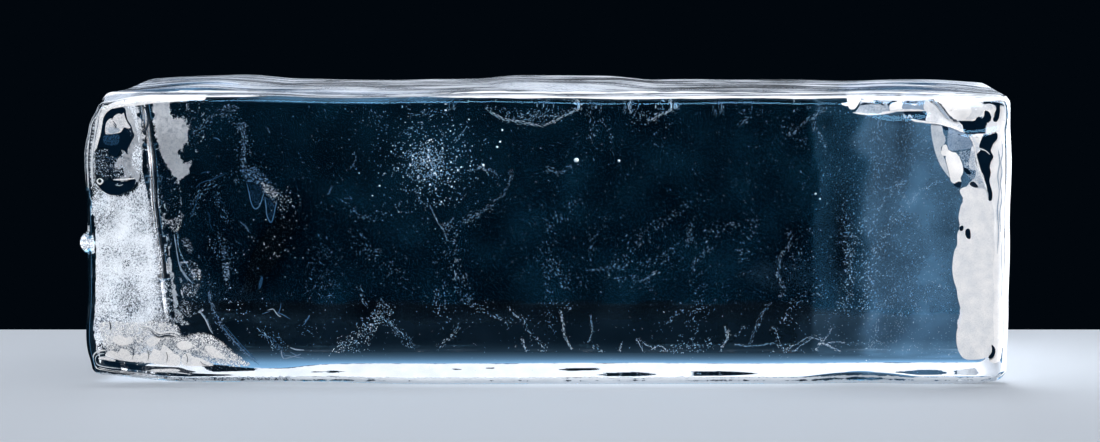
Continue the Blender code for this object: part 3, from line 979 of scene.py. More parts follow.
def growClusters():
    rng = random.Random(8)
    found = []
    for centre, spreads, count, brightShare, (small, large) in clusters:
        for k in range(count):
            offset = Vector([rng.gauss(0, spread) for spread in spreads])
            if rng.random() < 0.35:
                offset *= 0.4
            isBright = rng.random() < brightShare
            radius = small + (large - small) * rng.random() ** 2 if isBright else rng.uniform(0.03, 0.07)
            found.append((Vector(centre) + offset, radius, randomDirection(rng), rng.uniform(1, 1.8),
                          1 if isBright else rng.uniform(0.05, 0.4)))
    return found


bigBubbles = (  # place and radius in mm
    ((2.7, 1, 28.6), 0.28), ((8.5, 1, 28.5), 0.16), ((-7.4, 1, 32.7), 0.12), ((-7.7, 1, 31.1), 0.12),
    ((35.6, 3, 23.8), 0.12), ((36.2, 3, 23.1), 0.11), ((-8.1, 1, 30.4), 0.14), ((-10.0, 1, 27.9), 0.18),
)

stringStyles = {  # bubbles per mm, sideways spread and radius in mm, share drawn out along the string
    "hair": (11, 0.07, 0.026, 0.8), "wisp": (8.5, 0.19, 0.031, 0.5), "chain": (6.5, 0.38, 0.038, 0.2),
    "cloud": (7, 0.75, 0.037, 0.1), "band": (13, 0.60, 0.044, 0.05), "rim": (16, 0.12, 0.032, 0.5),
    "dust": (10, 1.70, 0.036, 0.05),
}
# bubbles strung along old cracks: style, shade, depth at either end in mm, and the route as it is seen
strings = {
    "arcAndPostAtLeft": (
        ("chain", 0.6, (20, 24), (200, 125, 207, 119, 215, 115, 226, 116, 235, 120)),
        ("chain", 0.5, (24, 22), (235, 120, 241, 132, 243, 150)),
        ("band", 0.6, (22, 20), (244, 123, 245, 140, 244, 155, 243, 168)),
        ("cloud", 0.5, (20, 18), (243, 168, 238, 176, 243, 184)),
    ),
    "linksAndChainsAtLeft": (
        ("chain", 0.5, (16, 20), (196, 205, 203, 190, 214, 183, 222, 178)),
        ("chain", 0.4, (20, 26), (182, 140, 200, 130, 205, 124)),
        ("chain", 0.5, (14, 18), (190, 215, 196, 205, 200, 192)),
        ("chain", 0.4, (18, 14), (214, 195, 222, 208, 228, 222)),
        ("cloud", 0.5, (22, 26), (222, 240, 226, 252, 224, 268, 227, 280)),
        ("cloud", 0.4, (22, 24), (212, 228, 222, 243, 226, 262)),
    ),
    "dripCrumbs": (
        ("band", 0.9, (18, 22), (262, 183, 270, 190, 278, 198)),
        ("cloud", 0.8, (20, 24), (278, 198, 285, 206, 290, 213)),
    ),
    "ticks": (
        ("hair", 0.5, (20, 20), (268, 128, 269, 133)),
        ("hair", 0.6, (18, 19), (356, 156, 354, 163, 350, 168)),
        ("hair", 0.4, (18, 19), (332, 186, 328, 194)),
        ("hair", 0.5, (12, 12), (240, 223, 245, 226, 249, 231)),
    ),
    "smileInMiddle": (
        ("chain", 0.5, (24, 27), (352, 207, 357, 215, 364, 219, 372, 218, 386, 213)),
        ("chain", 0.5, (22, 24), (343, 197, 348, 203, 354, 209)),
    ),
    "runsUnderTop": (
        ("chain", 0.5, (10, 14), (365, 104, 372, 112, 380, 124, 390, 127)),
        ("wisp", 0.4, (12, 12), (410, 116, 425, 114, 447, 111)),
        ("wisp", 0.5, (12, 14), (447, 104, 450, 110, 455, 105, 456, 98)),
    ),
    "slashes": (
        ("hair", 0.5, (14, 16), (456, 142, 461, 134, 467, 126)),
        ("wisp", 0.5, (14, 16), (401, 136, 408, 130, 414, 126)),
    ),
    "tailsOfCluster": (
        ("chain", 0.6, (22, 24), (415, 194, 425, 203, 430, 206)),
        ("hair", 0.7, (24, 20), (430, 206, 433, 213, 436, 219, 443, 229, 447, 240)),
        ("wisp", 0.7, (22, 22), (443, 229, 448, 223, 452, 217)),
        ("chain", 0.7, (20, 16), (447, 230, 460, 224, 470, 219, 480, 211)),
    ),
    "postInMiddle": (
        ("chain", 0.8, (22, 20), (456, 232, 457, 245, 456, 262, 455, 276)),
        ("cloud", 0.6, (20, 20), (455, 232, 449, 250, 443, 268)),
        ("cloud", 0.6, (20, 18), (447, 276, 445, 295, 446, 312, 449, 330)),
        ("chain", 0.6, (18, 18), (435, 290, 437, 303, 438, 316)),
        ("chain", 0.5, (20, 22), (455, 276, 462, 292, 475, 304)),
        ("chain", 0.6, (16, 16), (461, 274, 466, 280, 470, 287)),
    ),
    "fan": (
        ("wisp", 0.8, (26, 28), (459, 325, 455, 333, 446, 341, 438, 350, 434, 356)),
        ("chain", 0.6, (24, 32), (383, 319, 392, 327, 399, 336, 407, 346, 413, 359)),
        ("wisp", 0.5, (22, 30), (385, 318, 396, 329, 408, 338, 413, 349)),
    ),
    "granuleBand": (
        ("band", 0.9, (18, 28), (378, 314, 372, 322, 362, 332, 348, 342, 338, 352, 330, 362)),
        ("band", 0.7, (18, 28), (384, 312, 374, 326, 358, 342, 345, 356)),
        ("chain", 0.7, (18, 26), (380, 308, 382, 303, 386, 309, 394, 314)),
        ("wisp", 0.7, (26, 27), (342, 358, 352, 357, 361, 357)),
        ("hair", 0.7, (26, 28), (356, 365, 359, 360, 363, 352)),
    ),
    "wispAndSpray": (
        ("wisp", 0.6, (20, 20), (358, 287, 361, 294, 363, 301, 369, 308)),
        ("cloud", 0.5, (22, 22), (306, 280, 315, 288, 324, 294, 334, 292)),
        ("cloud", 0.4, (22, 22), (314, 260, 318, 272, 325, 280, 340, 281)),
        ("cloud", 0.4, (24, 24), (318, 240, 322, 252, 330, 246)),
        ("cloud", 0.6, (20, 22), (386, 264, 392, 268, 396, 276, 403, 285)),
        ("cloud", 0.4, (22, 22), (352, 232, 362, 244, 372, 256, 384, 262)),
        ("chain", 0.5, (20, 20), (364, 247, 368, 252, 378, 254)),
    ),
    "footAndWingAtLeft": (
        ("wisp", 0.7, (26, 30), (258, 328, 266, 337, 274, 348, 283, 358)),
        ("chain", 0.5, (24, 30), (262, 332, 276, 339, 285, 346)),
        ("hair", 0.8, (28, 28), (283, 359, 292, 357, 304, 359)),
        ("hair", 0.6, (28, 28), (291, 352, 299, 356, 306, 360)),
        ("hair", 0.6, (18, 18), (303, 326, 306, 321, 309, 317)),
        ("chain", 0.4, (18, 20), (300, 330, 306, 332, 316, 328)),
    ),
    "crescentsUnderTop": (
        ("rim", 0.9, (5, 7), (481, 102, 486, 108, 494, 115, 505, 119, 520, 122.5, 540, 125, 551, 123, 563,
         117, 575, 110.5, 585, 104.5)),
        ("band", 0.8, (5, 8), (522, 121, 535, 119, 548, 117, 560, 112, 572, 107, 583, 102)),
        ("band", 0.6, (4, 8), (484, 99, 495, 103, 505, 110, 520, 116, 533, 114, 545, 108, 549, 101)),
        ("wisp", 0.5, (6, 7), (500, 99, 520, 100, 540, 100, 550, 104, 545, 111)),
        ("rim", 0.9, (6, 7), (647, 121.5, 655, 118.5, 664, 114, 673, 110, 681, 105, 690, 98.5)),
        ("band", 0.7, (5, 8), (630, 116, 642, 118, 654, 114, 666, 108, 680, 101)),
        ("band", 0.6, (4, 8), (622, 99, 640, 103, 658, 102, 672, 99)),
        ("wisp", 0.7, (6, 8), (610, 107, 615, 103, 621, 102, 627, 108, 630, 114)),
    ),
    "hairsUnderTop": (
        ("hair", 0.8, (6, 8), (619, 99, 622, 104, 628, 109, 631, 112)),
        ("hair", 0.8, (6, 8), (643, 99, 643, 108)), ("hair", 0.8, (6, 8), (664, 100, 669, 104, 672, 111)),
        ("hair", 0.7, (6, 8), (628, 100, 630, 106, 632, 112)),
        ("chain", 0.7, (8, 10), (586, 100, 590, 106, 592, 118, 592, 130, 594, 139)),
        ("cloud", 0.6, (10, 14), (600, 100, 598, 115, 604, 125, 611, 135)),
    ),
    "starAndArcs": (
        ("hair", 0.7, (20, 20), (468, 171, 476, 169, 482, 167)),
        ("hair", 0.9, (20, 20), (479, 166, 484, 169, 488, 173)),
        ("hair", 0.9, (20, 20), (483, 163, 485, 168, 487, 172)),
        ("wisp", 0.5, (20, 22), (487, 169, 494, 172, 500, 177)),
        ("wisp", 0.7, (18, 16), (511, 170, 512, 176, 508, 186, 501, 197, 494, 203)),
        ("wisp", 0.7, (16, 14), (494, 203, 487, 208, 478, 214, 471, 219, 463, 222)),
        ("wisp", 0.5, (18, 18), (546, 167, 551, 171, 561, 172, 566, 170, 573, 163)),
    ),
    "streams": (
        ("cloud", 0.5, (20, 14), (577, 196, 570, 207, 561, 216, 554, 227, 547, 243)),
        ("cloud", 0.5, (14, 14), (547, 243, 551, 257, 560, 268, 566, 283)),
        ("chain", 0.6, (16, 16), (600, 225, 596, 233, 591, 243, 588, 262)),
        ("cloud", 0.5, (12, 12), (538, 260, 547, 268, 557, 273, 566, 283, 590, 280)),
        ("chain", 0.6, (12, 14), (688, 206, 675, 215, 665, 223, 654, 228)),
        ("cloud", 0.6, (14, 20), (656, 223, 646, 231, 636, 243, 628, 255, 618, 262)),
        ("wisp", 0.4, (20, 18), (588, 271, 608, 269, 628, 266)),
        ("chain", 0.5, (18, 16), (636, 265, 654, 261, 668, 254, 676, 250)),
        ("wisp", 0.6, (14, 14), (640, 282, 648, 278, 658, 272)),
        ("chain", 0.7, (16, 16), (617, 280, 621, 278, 625, 281)),
        ("cloud", 0.5, (16, 18), (632, 276, 645, 283, 652, 292)),
        ("chain", 0.5, (16, 20), (690, 222, 689, 236, 684, 246)),
        ("wisp", 0.6, (10, 14), (712, 248, 704, 254, 696, 262, 692, 272)),
        ("cloud", 0.5, (22, 16), (690, 310, 702, 318, 688, 333, 694, 345)),
        ("wisp", 0.6, (18, 18), (668, 323, 676, 314, 682, 310)),
        ("cloud", 0.5, (20, 20), (702, 275, 702, 292, 697, 305, 694, 318)),
    ),
    "diagonals": (
        ("chain", 0.7, (20, 16), (460, 300, 470, 305, 480, 309, 492, 315, 504, 322, 512, 327)),
        ("wisp", 0.8, (22, 24), (509, 308, 515, 315, 523, 321, 527, 330)),
        ("wisp", 0.8, (24, 28), (527, 330, 535, 338, 543, 347, 548, 356, 550, 363)),
    ),
    "footInMiddle": (
        ("rim", 0.9, (27, 28), (521.5, 338, 524, 346, 526, 353, 528, 361)),
        ("cloud", 0.7, (26, 28), (530, 346, 538, 350, 545, 356, 548, 362)),
        ("rim", 0.9, (22, 24), (560, 311, 563, 322, 564, 334, 568, 343, 572, 350)),
        ("chain", 0.6, (22, 22), (560, 300, 565, 306, 572, 303)),
        ("hair", 0.6, (20, 22), (590, 315, 592, 327, 591, 335, 588, 343)),
        ("hair", 0.6, (28, 28), (561, 362, 566, 356, 569, 353)),
        ("chain", 0.5, (26, 24), (546, 280, 548, 300, 550, 318, 555, 336)),
        ("wisp", 0.8, (27, 28), (592, 347, 602, 352, 614, 357, 622, 358)),
        ("rim", 0.9, (28, 28), (622, 343, 620, 349, 620, 356, 622, 362)),
        ("hair", 0.9, (28, 28), (636, 338, 640, 346, 644, 354, 648, 363)),
        ("hair", 0.9, (28, 28), (648, 363, 650, 354, 654, 348, 661, 346, 666, 350, 670, 357, 671, 363)),
        ("hair", 0.8, (27, 28), (638, 338, 645, 344, 653, 347)),
        ("hair", 0.7, (28, 28), (690, 360, 697, 357, 705, 355, 718, 354)),
        ("rim", 1, (26, 28), (729, 330, 727, 339, 723, 346, 720, 353)),
        ("hair", 0.8, (26, 27), (725, 326, 726, 334, 727, 340)),
        ("wisp", 0.7, (26, 27), (735, 337, 740, 332, 745, 326)),
        ("hair", 0.5, (26, 26), (735, 344, 747, 346, 762, 345, 774, 343)),
        ("wisp", 0.6, (20, 26), (770, 302, 763, 312, 760, 322, 754, 334, 750, 344)),
        ("wisp", 0.7, (24, 26), (772, 328, 777, 336, 780, 346, 785, 352)),
        ("hair", 0.7, (27, 28), (770, 357, 780, 359, 790, 354, 800, 346, 812, 338)),
    ),
    "crumbsAtFoot": (
        ("band", 0.7, (27, 29), (590, 359, 620, 360, 650, 359, 680, 358, 700, 357)),
        ("band", 0.6, (24, 28), (672, 352, 686, 345, 700, 348, 712, 340)),
        ("cloud", 0.6, (27, 29), (752, 358, 765, 357, 778, 359, 800, 357, 815, 354)),
    ),
    "stringsAtRight": (
        ("wisp", 0.7, (16, 18), (788, 230, 790, 240, 787, 249, 780, 256, 779, 268)),
        ("wisp", 0.8, (18, 20), (779, 268, 779, 277, 782, 288, 780, 295)),
        ("cloud", 0.6, (16, 18), (797, 238, 799, 250, 801, 265)),
        ("cloud", 0.6, (14, 18), (752, 212, 750, 232, 748, 248, 743, 262)),
        ("chain", 0.6, (14, 16), (706, 240, 713, 232, 724, 228, 738, 225)),
        ("chain", 0.7, (20, 24), (784, 326, 786, 314, 793, 303, 800, 297)),
        ("cloud", 0.7, (24, 26), (800, 297, 810, 293, 820, 291, 832, 293)),
        ("chain", 0.5, (12, 16), (786, 126, 790, 134, 799, 139, 806, 143)),
        ("wisp", 0.7, (10, 12), (790, 134, 799, 128, 809, 121, 815, 117)),
        ("wisp", 0.7, (10, 12), (815, 117, 820, 111, 829, 106, 838, 103)),
        ("wisp", 0.7, (10, 14), (815, 117, 814, 127, 820, 136, 827, 150)),
        ("wisp", 0.7, (8, 10), (795, 110, 799, 103, 802, 98)),
        ("chain", 0.6, (8, 10), (785, 99, 795, 102, 808, 104, 822, 103)),
        ("chain", 0.5, (8, 12), (714, 98, 715, 106, 716, 113)),
        ("chain", 0.5, (8, 12), (720, 98, 722, 107, 721, 114)),
        ("cloud", 0.5, (10, 14), (733, 100, 745, 106, 757, 108, 768, 107)),
        ("wisp", 0.6, (14, 14), (738, 126, 744, 121, 750, 118)),
    ),
    "burst": (
        ("rim", 1, (27, 29), (822, 341, 818, 347, 813, 354, 808, 363)),
        ("rim", 1, (27, 28), (820, 337, 823, 343, 829, 346)),
        ("hair", 0.9, (27, 29), (824, 344, 834, 348, 844, 354, 855, 363)),
        ("hair", 0.8, (27, 26), (820, 340, 808, 338, 797, 344, 786, 350)),
        ("hair", 0.7, (27, 26), (823, 341, 829, 334, 832, 328)),
        ("hair", 0.7, (27, 27), (826, 344, 836, 342, 845, 343)),
        ("hair", 0.8, (27, 28), (836, 352, 834, 357, 832, 362)),
    ),
    "edgesOfHaze": (
        ("band", 0.8, (24, 28), (865, 218, 857, 235, 851, 255, 849, 275, 848, 292, 843, 312)),
        ("band", 0.6, (24, 28), (846, 215, 848, 240, 850, 262)),
    ),
    "veinsInHaze": (
        ("wisp", 0.8, (26, 30), (906, 181, 893, 187, 884, 202, 877, 212, 872, 226, 868, 236)),
        ("band", 0.8, (26, 30), (900, 210, 893, 224, 884, 238, 875, 252)),
        ("band", 0.8, (26, 32), (875, 252, 868, 268, 867, 284, 865, 300, 866, 315)),
        ("wisp", 0.8, (28, 33), (878, 320, 875, 335, 870, 350, 867, 363)),
        ("wisp", 0.7, (26, 30), (906, 181, 898, 190, 905, 200, 911, 205)),
        ("wisp", 0.7, (26, 30), (911, 205, 917, 194, 930, 187, 940, 182)),
        ("chain", 0.7, (22, 26), (870, 154, 876, 166, 878, 178, 876, 190)),
        ("chain", 0.8, (12, 18), (885, 113, 880, 122, 876, 132, 873, 143)),
        ("cloud", 0.7, (14, 20), (880, 140, 888, 150, 895, 165, 900, 175)),
    ),
    "dustInHaze": (
        ("dust", 0.7, (20, 34), (880, 262, 895, 280, 890, 300, 895, 325, 890, 350)),
        ("dust", 0.7, (18, 32), (860, 160, 880, 175, 862, 190, 850, 205)),
        ("dust", 0.7, (18, 32), (890, 130, 905, 140, 915, 150, 905, 165)),
        ("dust", 0.6, (24, 34), (905, 240, 920, 262, 910, 290, 915, 320)),
        ("dust", 0.7, (26, 34), (830, 350, 850, 352, 875, 350, 895, 356)),
    ),
    "veilsAtLeft": (
        ("hair", 0.6, (26, 30), (177, 232, 178, 245, 182, 258, 190, 270, 197, 280)),
        ("cloud", 0.8, (26, 32), (186, 262, 194, 270, 198, 280, 192, 292)),
        ("hair", 0.7, (30, 33), (199, 310, 206, 319, 212, 331)),
    ),
}


def seenRoute(depths, spots):
    # a route inside the ice from where it is seen and how deep its ends lie, in tenths of a mm
    spots = inPairs(spots)
    deepStart, deepEnd = depths
    points = []
    for k, (across, down) in enumerate(spots):
        deep = deepStart + (deepEnd - deepStart) * k / (len(spots) - 1)
        x, z = seenAt(across, down, deep)
        points.append(Vector((round(x, 1), deep - view["middleBehind"], round(z, 1))))
    return points


stringShape = {  # of round bubbles and of needles: how far drawn out, how far off the string's way, and size
    "seed": 21, "round": ((1, 1.6), 2, 1.1), "needle": ((4, 9), 0.15, 0.8),
    "sizes": (0.6, 1.35), "shades": (0.3, 1.25),
}


def threadStrings():
    rng = random.Random(stringShape["seed"])
    found = []
    for style, shade, depths, spots in allRows(strings):
        perMm, spread, size, needles = stringStyles[style]
        route = smoothCurve(seenRoute(depths, spots), 8)
        for a, b in zip(route, route[1:]):
            run = b - a
            wanted = run.length * perMm
            for k in range(int(wanted) + (rng.random() < wanted % 1)):
                place = a.lerp(b, rng.random())
                place += Vector([rng.gauss(0, spread) for axis in range(3)])
                if not isInside(place):
                    continue
                kind = "needle" if rng.random() < needles else "round"
                longer, turn, larger = stringShape[kind]
                drawn = rng.uniform(*longer)
                along = run.normalized() + randomDirection(rng) * turn
                radius = size * rng.uniform(*stringShape["sizes"]) * larger
                bright = min(1, shade * rng.uniform(*stringShape["shades"])) ** 2
                found.append((place, radius, along, drawn, bright))
    return found


dustBubbles = scatterDust()
stringBubbles = threadStrings()
print(len(dustBubbles), "loose bubbles and", len(stringBubbles), "in strings")
makeBubbles("bubble_dust", dustBubbles, "octahedron")
makeBubbles("bubble_strings", stringBubbles, "octahedron")
rng = random.Random(2)
makeBubbles("bubble_cluster", growClusters() + [
    (Vector(place), radius, randomDirection(rng), 1.2, 1) for place, radius in bigBubbles], "ball")


print("thin veils")
veilLook = {"colour": "#4788bd", "bright": "#b4d0e6", "roughness": 0.6, "mottleSize": 0.5 * mm,
            "mottledFrom": (0.42, 0.68), "smoothFrom": (0.2, 0.8), "smoothSize": 6, "rows": 8,
            "fadeSides": 2.2, "fadeEnds": 4, "lipAt": 0.25, "lipThin": 5, "lipMore": 1.2,
            "bow": 0.12, "wave": 0.5, "waveLength": 2.5,
            "lowest": 0.7, "easing": 0.5}  # mm above the foot, and how softly they keep off it
# sheets of old cracks: look, density, how much brighter the rim is, and two opposite edges, given as the
# strings are
veils = (
    ("smooth", 0.55, 0.8,
     ((20, 21), (240, 177, 246, 190, 249, 202, 254, 208.5)),
     ((22, 23), (262, 182, 262, 192, 259, 203, 255, 208.5))),
    ("smooth", 0.55, 0.8,
     ((21, 22), (264, 188, 266, 203, 268, 215, 271, 221)),
     ((23, 24), (276, 192, 277, 204, 275, 215, 272, 221))),
    ("mottled", 0.5, 0.2,
     ((22, 20), (240, 124, 241, 145, 238, 168)),
     ((22, 20), (247, 122, 247, 145, 248, 172))),
    ("mottled", 0.45, 0.2,
     ((20, 21), (237, 170, 239, 178, 243, 186)),
     ((20, 22), (248, 168, 258, 178, 272, 188))),
    ("smooth", 0.6, 0.3,
     ((28, 33), (203, 284, 211, 312, 227, 337, 248, 363)),
     ((26, 33), (209, 283, 221, 309, 240, 335, 262, 363))),
    ("mottled", 0.22, 0.3,
     ((5, 7), (481, 102, 505, 119, 540, 125, 563, 117, 585, 104.5)),
     ((4, 6), (483, 98, 508, 98, 535, 98, 560, 98, 584, 98))),
    ("mottled", 0.22, 0.3,
     ((5, 7), (612, 112, 640, 123, 655, 118.5, 673, 110, 690, 98.5)),
     ((4, 6), (610, 98, 630, 98, 650, 98, 670, 98, 688, 98))),
    ("smooth", 0.22, 0,
     ((20, 20), (748, 205, 744, 218, 743, 230)),
     ((20, 20), (756, 203, 757, 216, 752, 230))),
    ("smooth", 0.3, 0.2,
     ((14, 14), (789, 204, 789, 214, 792, 222)),
     ((14, 14), (794, 203, 797, 213, 796, 222))),
    ("smooth", 0.18, 0,
     ((20, 20), (722, 253, 725, 258)),
     ((20, 20), (729, 247, 733, 252))),
    ("smooth", 0.35, 0.3,
     ((14, 16), (703, 246, 711, 236, 716, 232)),
     ((14, 16), (707, 246, 716, 240, 722, 235))),
    ("mottled", 0.55, 0.5,
     ((27, 28), (526, 344, 536, 345, 543, 347, 548, 354)),
     ((28, 28), (528, 362, 535, 362, 544, 362, 550, 363))),
    ("mottled", 0.45, 0.4,
     ((26, 28), (366, 345, 360, 353, 353, 362)),
     ((26, 28), (353, 342, 344, 352, 335, 362))),
    ("mottled", 0.35, 0.3,
     ((30, 24), (385, 320, 396, 335, 408, 352, 414, 360)),
     ((30, 26), (392, 322, 404, 337, 414, 347, 419, 358))),
    ("mottled", 0.5, 0.3,
     ((26, 28), (415, 352, 430, 354, 444, 355)),
     ((27, 28), (412, 361, 430, 362, 458, 362))),
    ("mottled", 0.4, 0.3,
     ((20, 18), (451, 230, 449, 250, 448, 272)),
     ((22, 20), (457, 229, 457, 250, 456, 274))),
    ("mottled", 0.3, 0.1,
     ((25, 30), (437, 280, 439, 300, 441, 325)),
     ((26, 28), (450, 278, 452, 300, 457, 328))),
    ("smooth", 0.16, 0,
     ((15, 20), (497, 180, 500, 210, 494, 240)),
     ((18, 24), (525, 178, 533, 205, 520, 238))),
    ("smooth", 0.14, 0,
     ((18, 24), (286, 120, 292, 160, 300, 200)),
     ((15, 20), (330, 118, 338, 165, 332, 205))),
    ("mottled", 0.5, 0.2,
     ((27, 29), (822, 338, 815, 348, 806, 362)),
     ((27, 29), (828, 342, 845, 352, 858, 362))),
    ("smooth", 0.45, 0.3,
     ((26, 30), (904, 180, 886, 196, 873, 220, 866, 238)),
     ((27, 31), (908, 184, 893, 203, 881, 224, 873, 240))),
    ("mottled", 0.55, 0.2,
     ((26, 31), (896, 214, 882, 235, 868, 262, 864, 312)),
     ((27, 31), (908, 216, 896, 240, 880, 268, 876, 316))),
    ("mottled", 0.4, 0.2,
     ((28, 32), (868, 318, 864, 340, 862, 362)),
     ((28, 32), (884, 318, 880, 340, 878, 362))),
    ("mottled", 0.45, 0.2,
     ((10, 20), (876, 115, 858, 140, 836, 160, 820, 170)),
     ((12, 22), (893, 113, 884, 140, 872, 165, 850, 185))),
    ("mottled", 0.35, 0.2,
     ((22, 28), (836, 200, 838, 230, 842, 262)),
     ((20, 26), (854, 196, 856, 228, 852, 262))),
    ("smooth", 0.3, 0.2,
     ((26, 30), (848, 262, 846, 285, 846, 315)),
     ((26, 31), (864, 258, 866, 285, 864, 318))),
    ("smooth", 0.35, 0.1,
     ((28, 33), (905, 150, 906, 190, 908, 240, 905, 300, 905, 360)),
     ((28, 33), (950, 160, 955, 195, 954, 240, 953, 300, 956, 360))),
    ("mottled", 0.3, 0.1,
     ((16, 20), (812, 290, 800, 320, 798, 340)),
     ((16, 22), (833, 290, 830, 318, 826, 340))),
    ("mottled", 0.3, 0.1,
     ((12, 16), (795, 118, 788, 135, 800, 160)),
     ((12, 18), (818, 112, 822, 140, 826, 165))),
)


def makeVeilLook(name, mottled):
    # a crack that froze shut: a film of the finest bubbles, bluish and half see-through
    made, tree, shader = newMaterial(name)
    place = addNode(tree, "ShaderNodeTexCoord").node.outputs["Object"]
    density = readLayer(tree, "density")
    size = veilLook["mottleSize"] * (1 if mottled else veilLook["smoothSize"])
    spots = addNoise(tree, place, 1 / size, Detail=4.0, Roughness=0.65)
    low, high = veilLook["mottledFrom" if mottled else "smoothFrom"]
    cover = addMap(tree, spots, low, high, interpolation_type="SMOOTHSTEP")
    alpha = addMath(tree, "MULTIPLY", cover, density, clamp=True)
    tint = mixColours(tree, alpha, fromHex(veilLook["colour"]), fromHex(veilLook["bright"]))
    setInputs(tree, shader, {"Alpha": alpha, "Base Color": tint, "Roughness": veilLook["roughness"]})
    return made


def makeVeils(name, look, material):
    whole = bmesh.new()
    densityLayer = whole.verts.layers.float.new("density")
    across = veilLook["rows"]
    lowest, easing = veilLook["lowest"], veilLook["easing"]
    for kind, density, rim, first, second in veils:
        if kind != look:
            continue
        edges = [[Vector([round(part, 1) for part in place]) for place in seenRoute(*edge)]
                 for edge in (first, second)]
        routeA, routeB = [smoothCurve(edge, 6) for edge in edges]
        along = len(routeA) - 1
        made = bmesh.ops.create_grid(whole, x_segments=along, y_segments=across, size=1)["verts"]
        for vert in made:
            k = round((vert.co.x + 1) / 2 * along)
            share = (vert.co.y + 1) / 2
            a, b = routeA[k], routeB[min(k, len(routeB) - 1)]
            edge = min(share, 1 - share) * 2
            end = min(k, along - k) / along * 2
            fade = smoothstep(edge * veilLook["fadeSides"]) * smoothstep(end * veilLook["fadeEnds"])
            lip = rim * (1 - smoothstep(abs(edge - veilLook["lipAt"]) * veilLook["lipThin"]))
            vert[densityLayer] = density * (fade + lip * veilLook["lipMore"])
            place = a.lerp(b, share)
            bow = (a - b).length * veilLook["bow"] * math.sin(math.pi * share)
            place.y += bow + veilLook["wave"] * noise.noise(place / veilLook["waveLength"])
            place.z = lowest + easing * math.log1p(math.exp((place.z - lowest) / easing))
            vert.co = place * mm
    mesh = toMesh(whole, name)
    return finishInside(name, mesh, material)


makeVeils("veils_smooth", "smooth", makeVeilLook("healed_crack_film", False))
makeVeils("veils_mottled", "mottled", makeVeilLook("healed_crack_bubbly", True))


# the dark marks under the front are painted shade, and some white ones are painted highlights
print("scars, crevices and thin frost just under the front")
frostLightAndShade = {
    # from painted shade, dark as in a crevice, through blue-grey films to white rime
    "tones": ((-1, "#051625"), (-0.5, "#12293e"), (0, "#3b6790"), (0.5, "#9fb0c2"), (1, "#fdfdfd")),
    "roughness": 0.6, "under": 0.42, "nearer": 0.0042, "linesUnder": 0.05, "runOn": 15, "eyeDistance": 380,
    "cell": 0.4, "speckleSize": 0.22 * mm,
    "seenDeep": 0.1,  # mm behind the front where the marks are seen
    "frays": 0.9, "fraysFrom": 0.3,  # what is speckled also frays at its edge
    "cloudScale": 700.0, "clouds": (0.36, -0.18), "gapWidth": 0.1, "gapSoft": 0.06, "least": (-2.2, 1.0),
    "thinBluer": (0.6, -0.6),
    # lines: how long they taper, how thin their ends are, how uneven, and the tone of their edges
    "taper": 4, "thinEnd": 0.35, "uneven": 0.5, "unevenScale": 0.8, "edgeTone": 0.7, "lineSpeckled": 0.1,
}
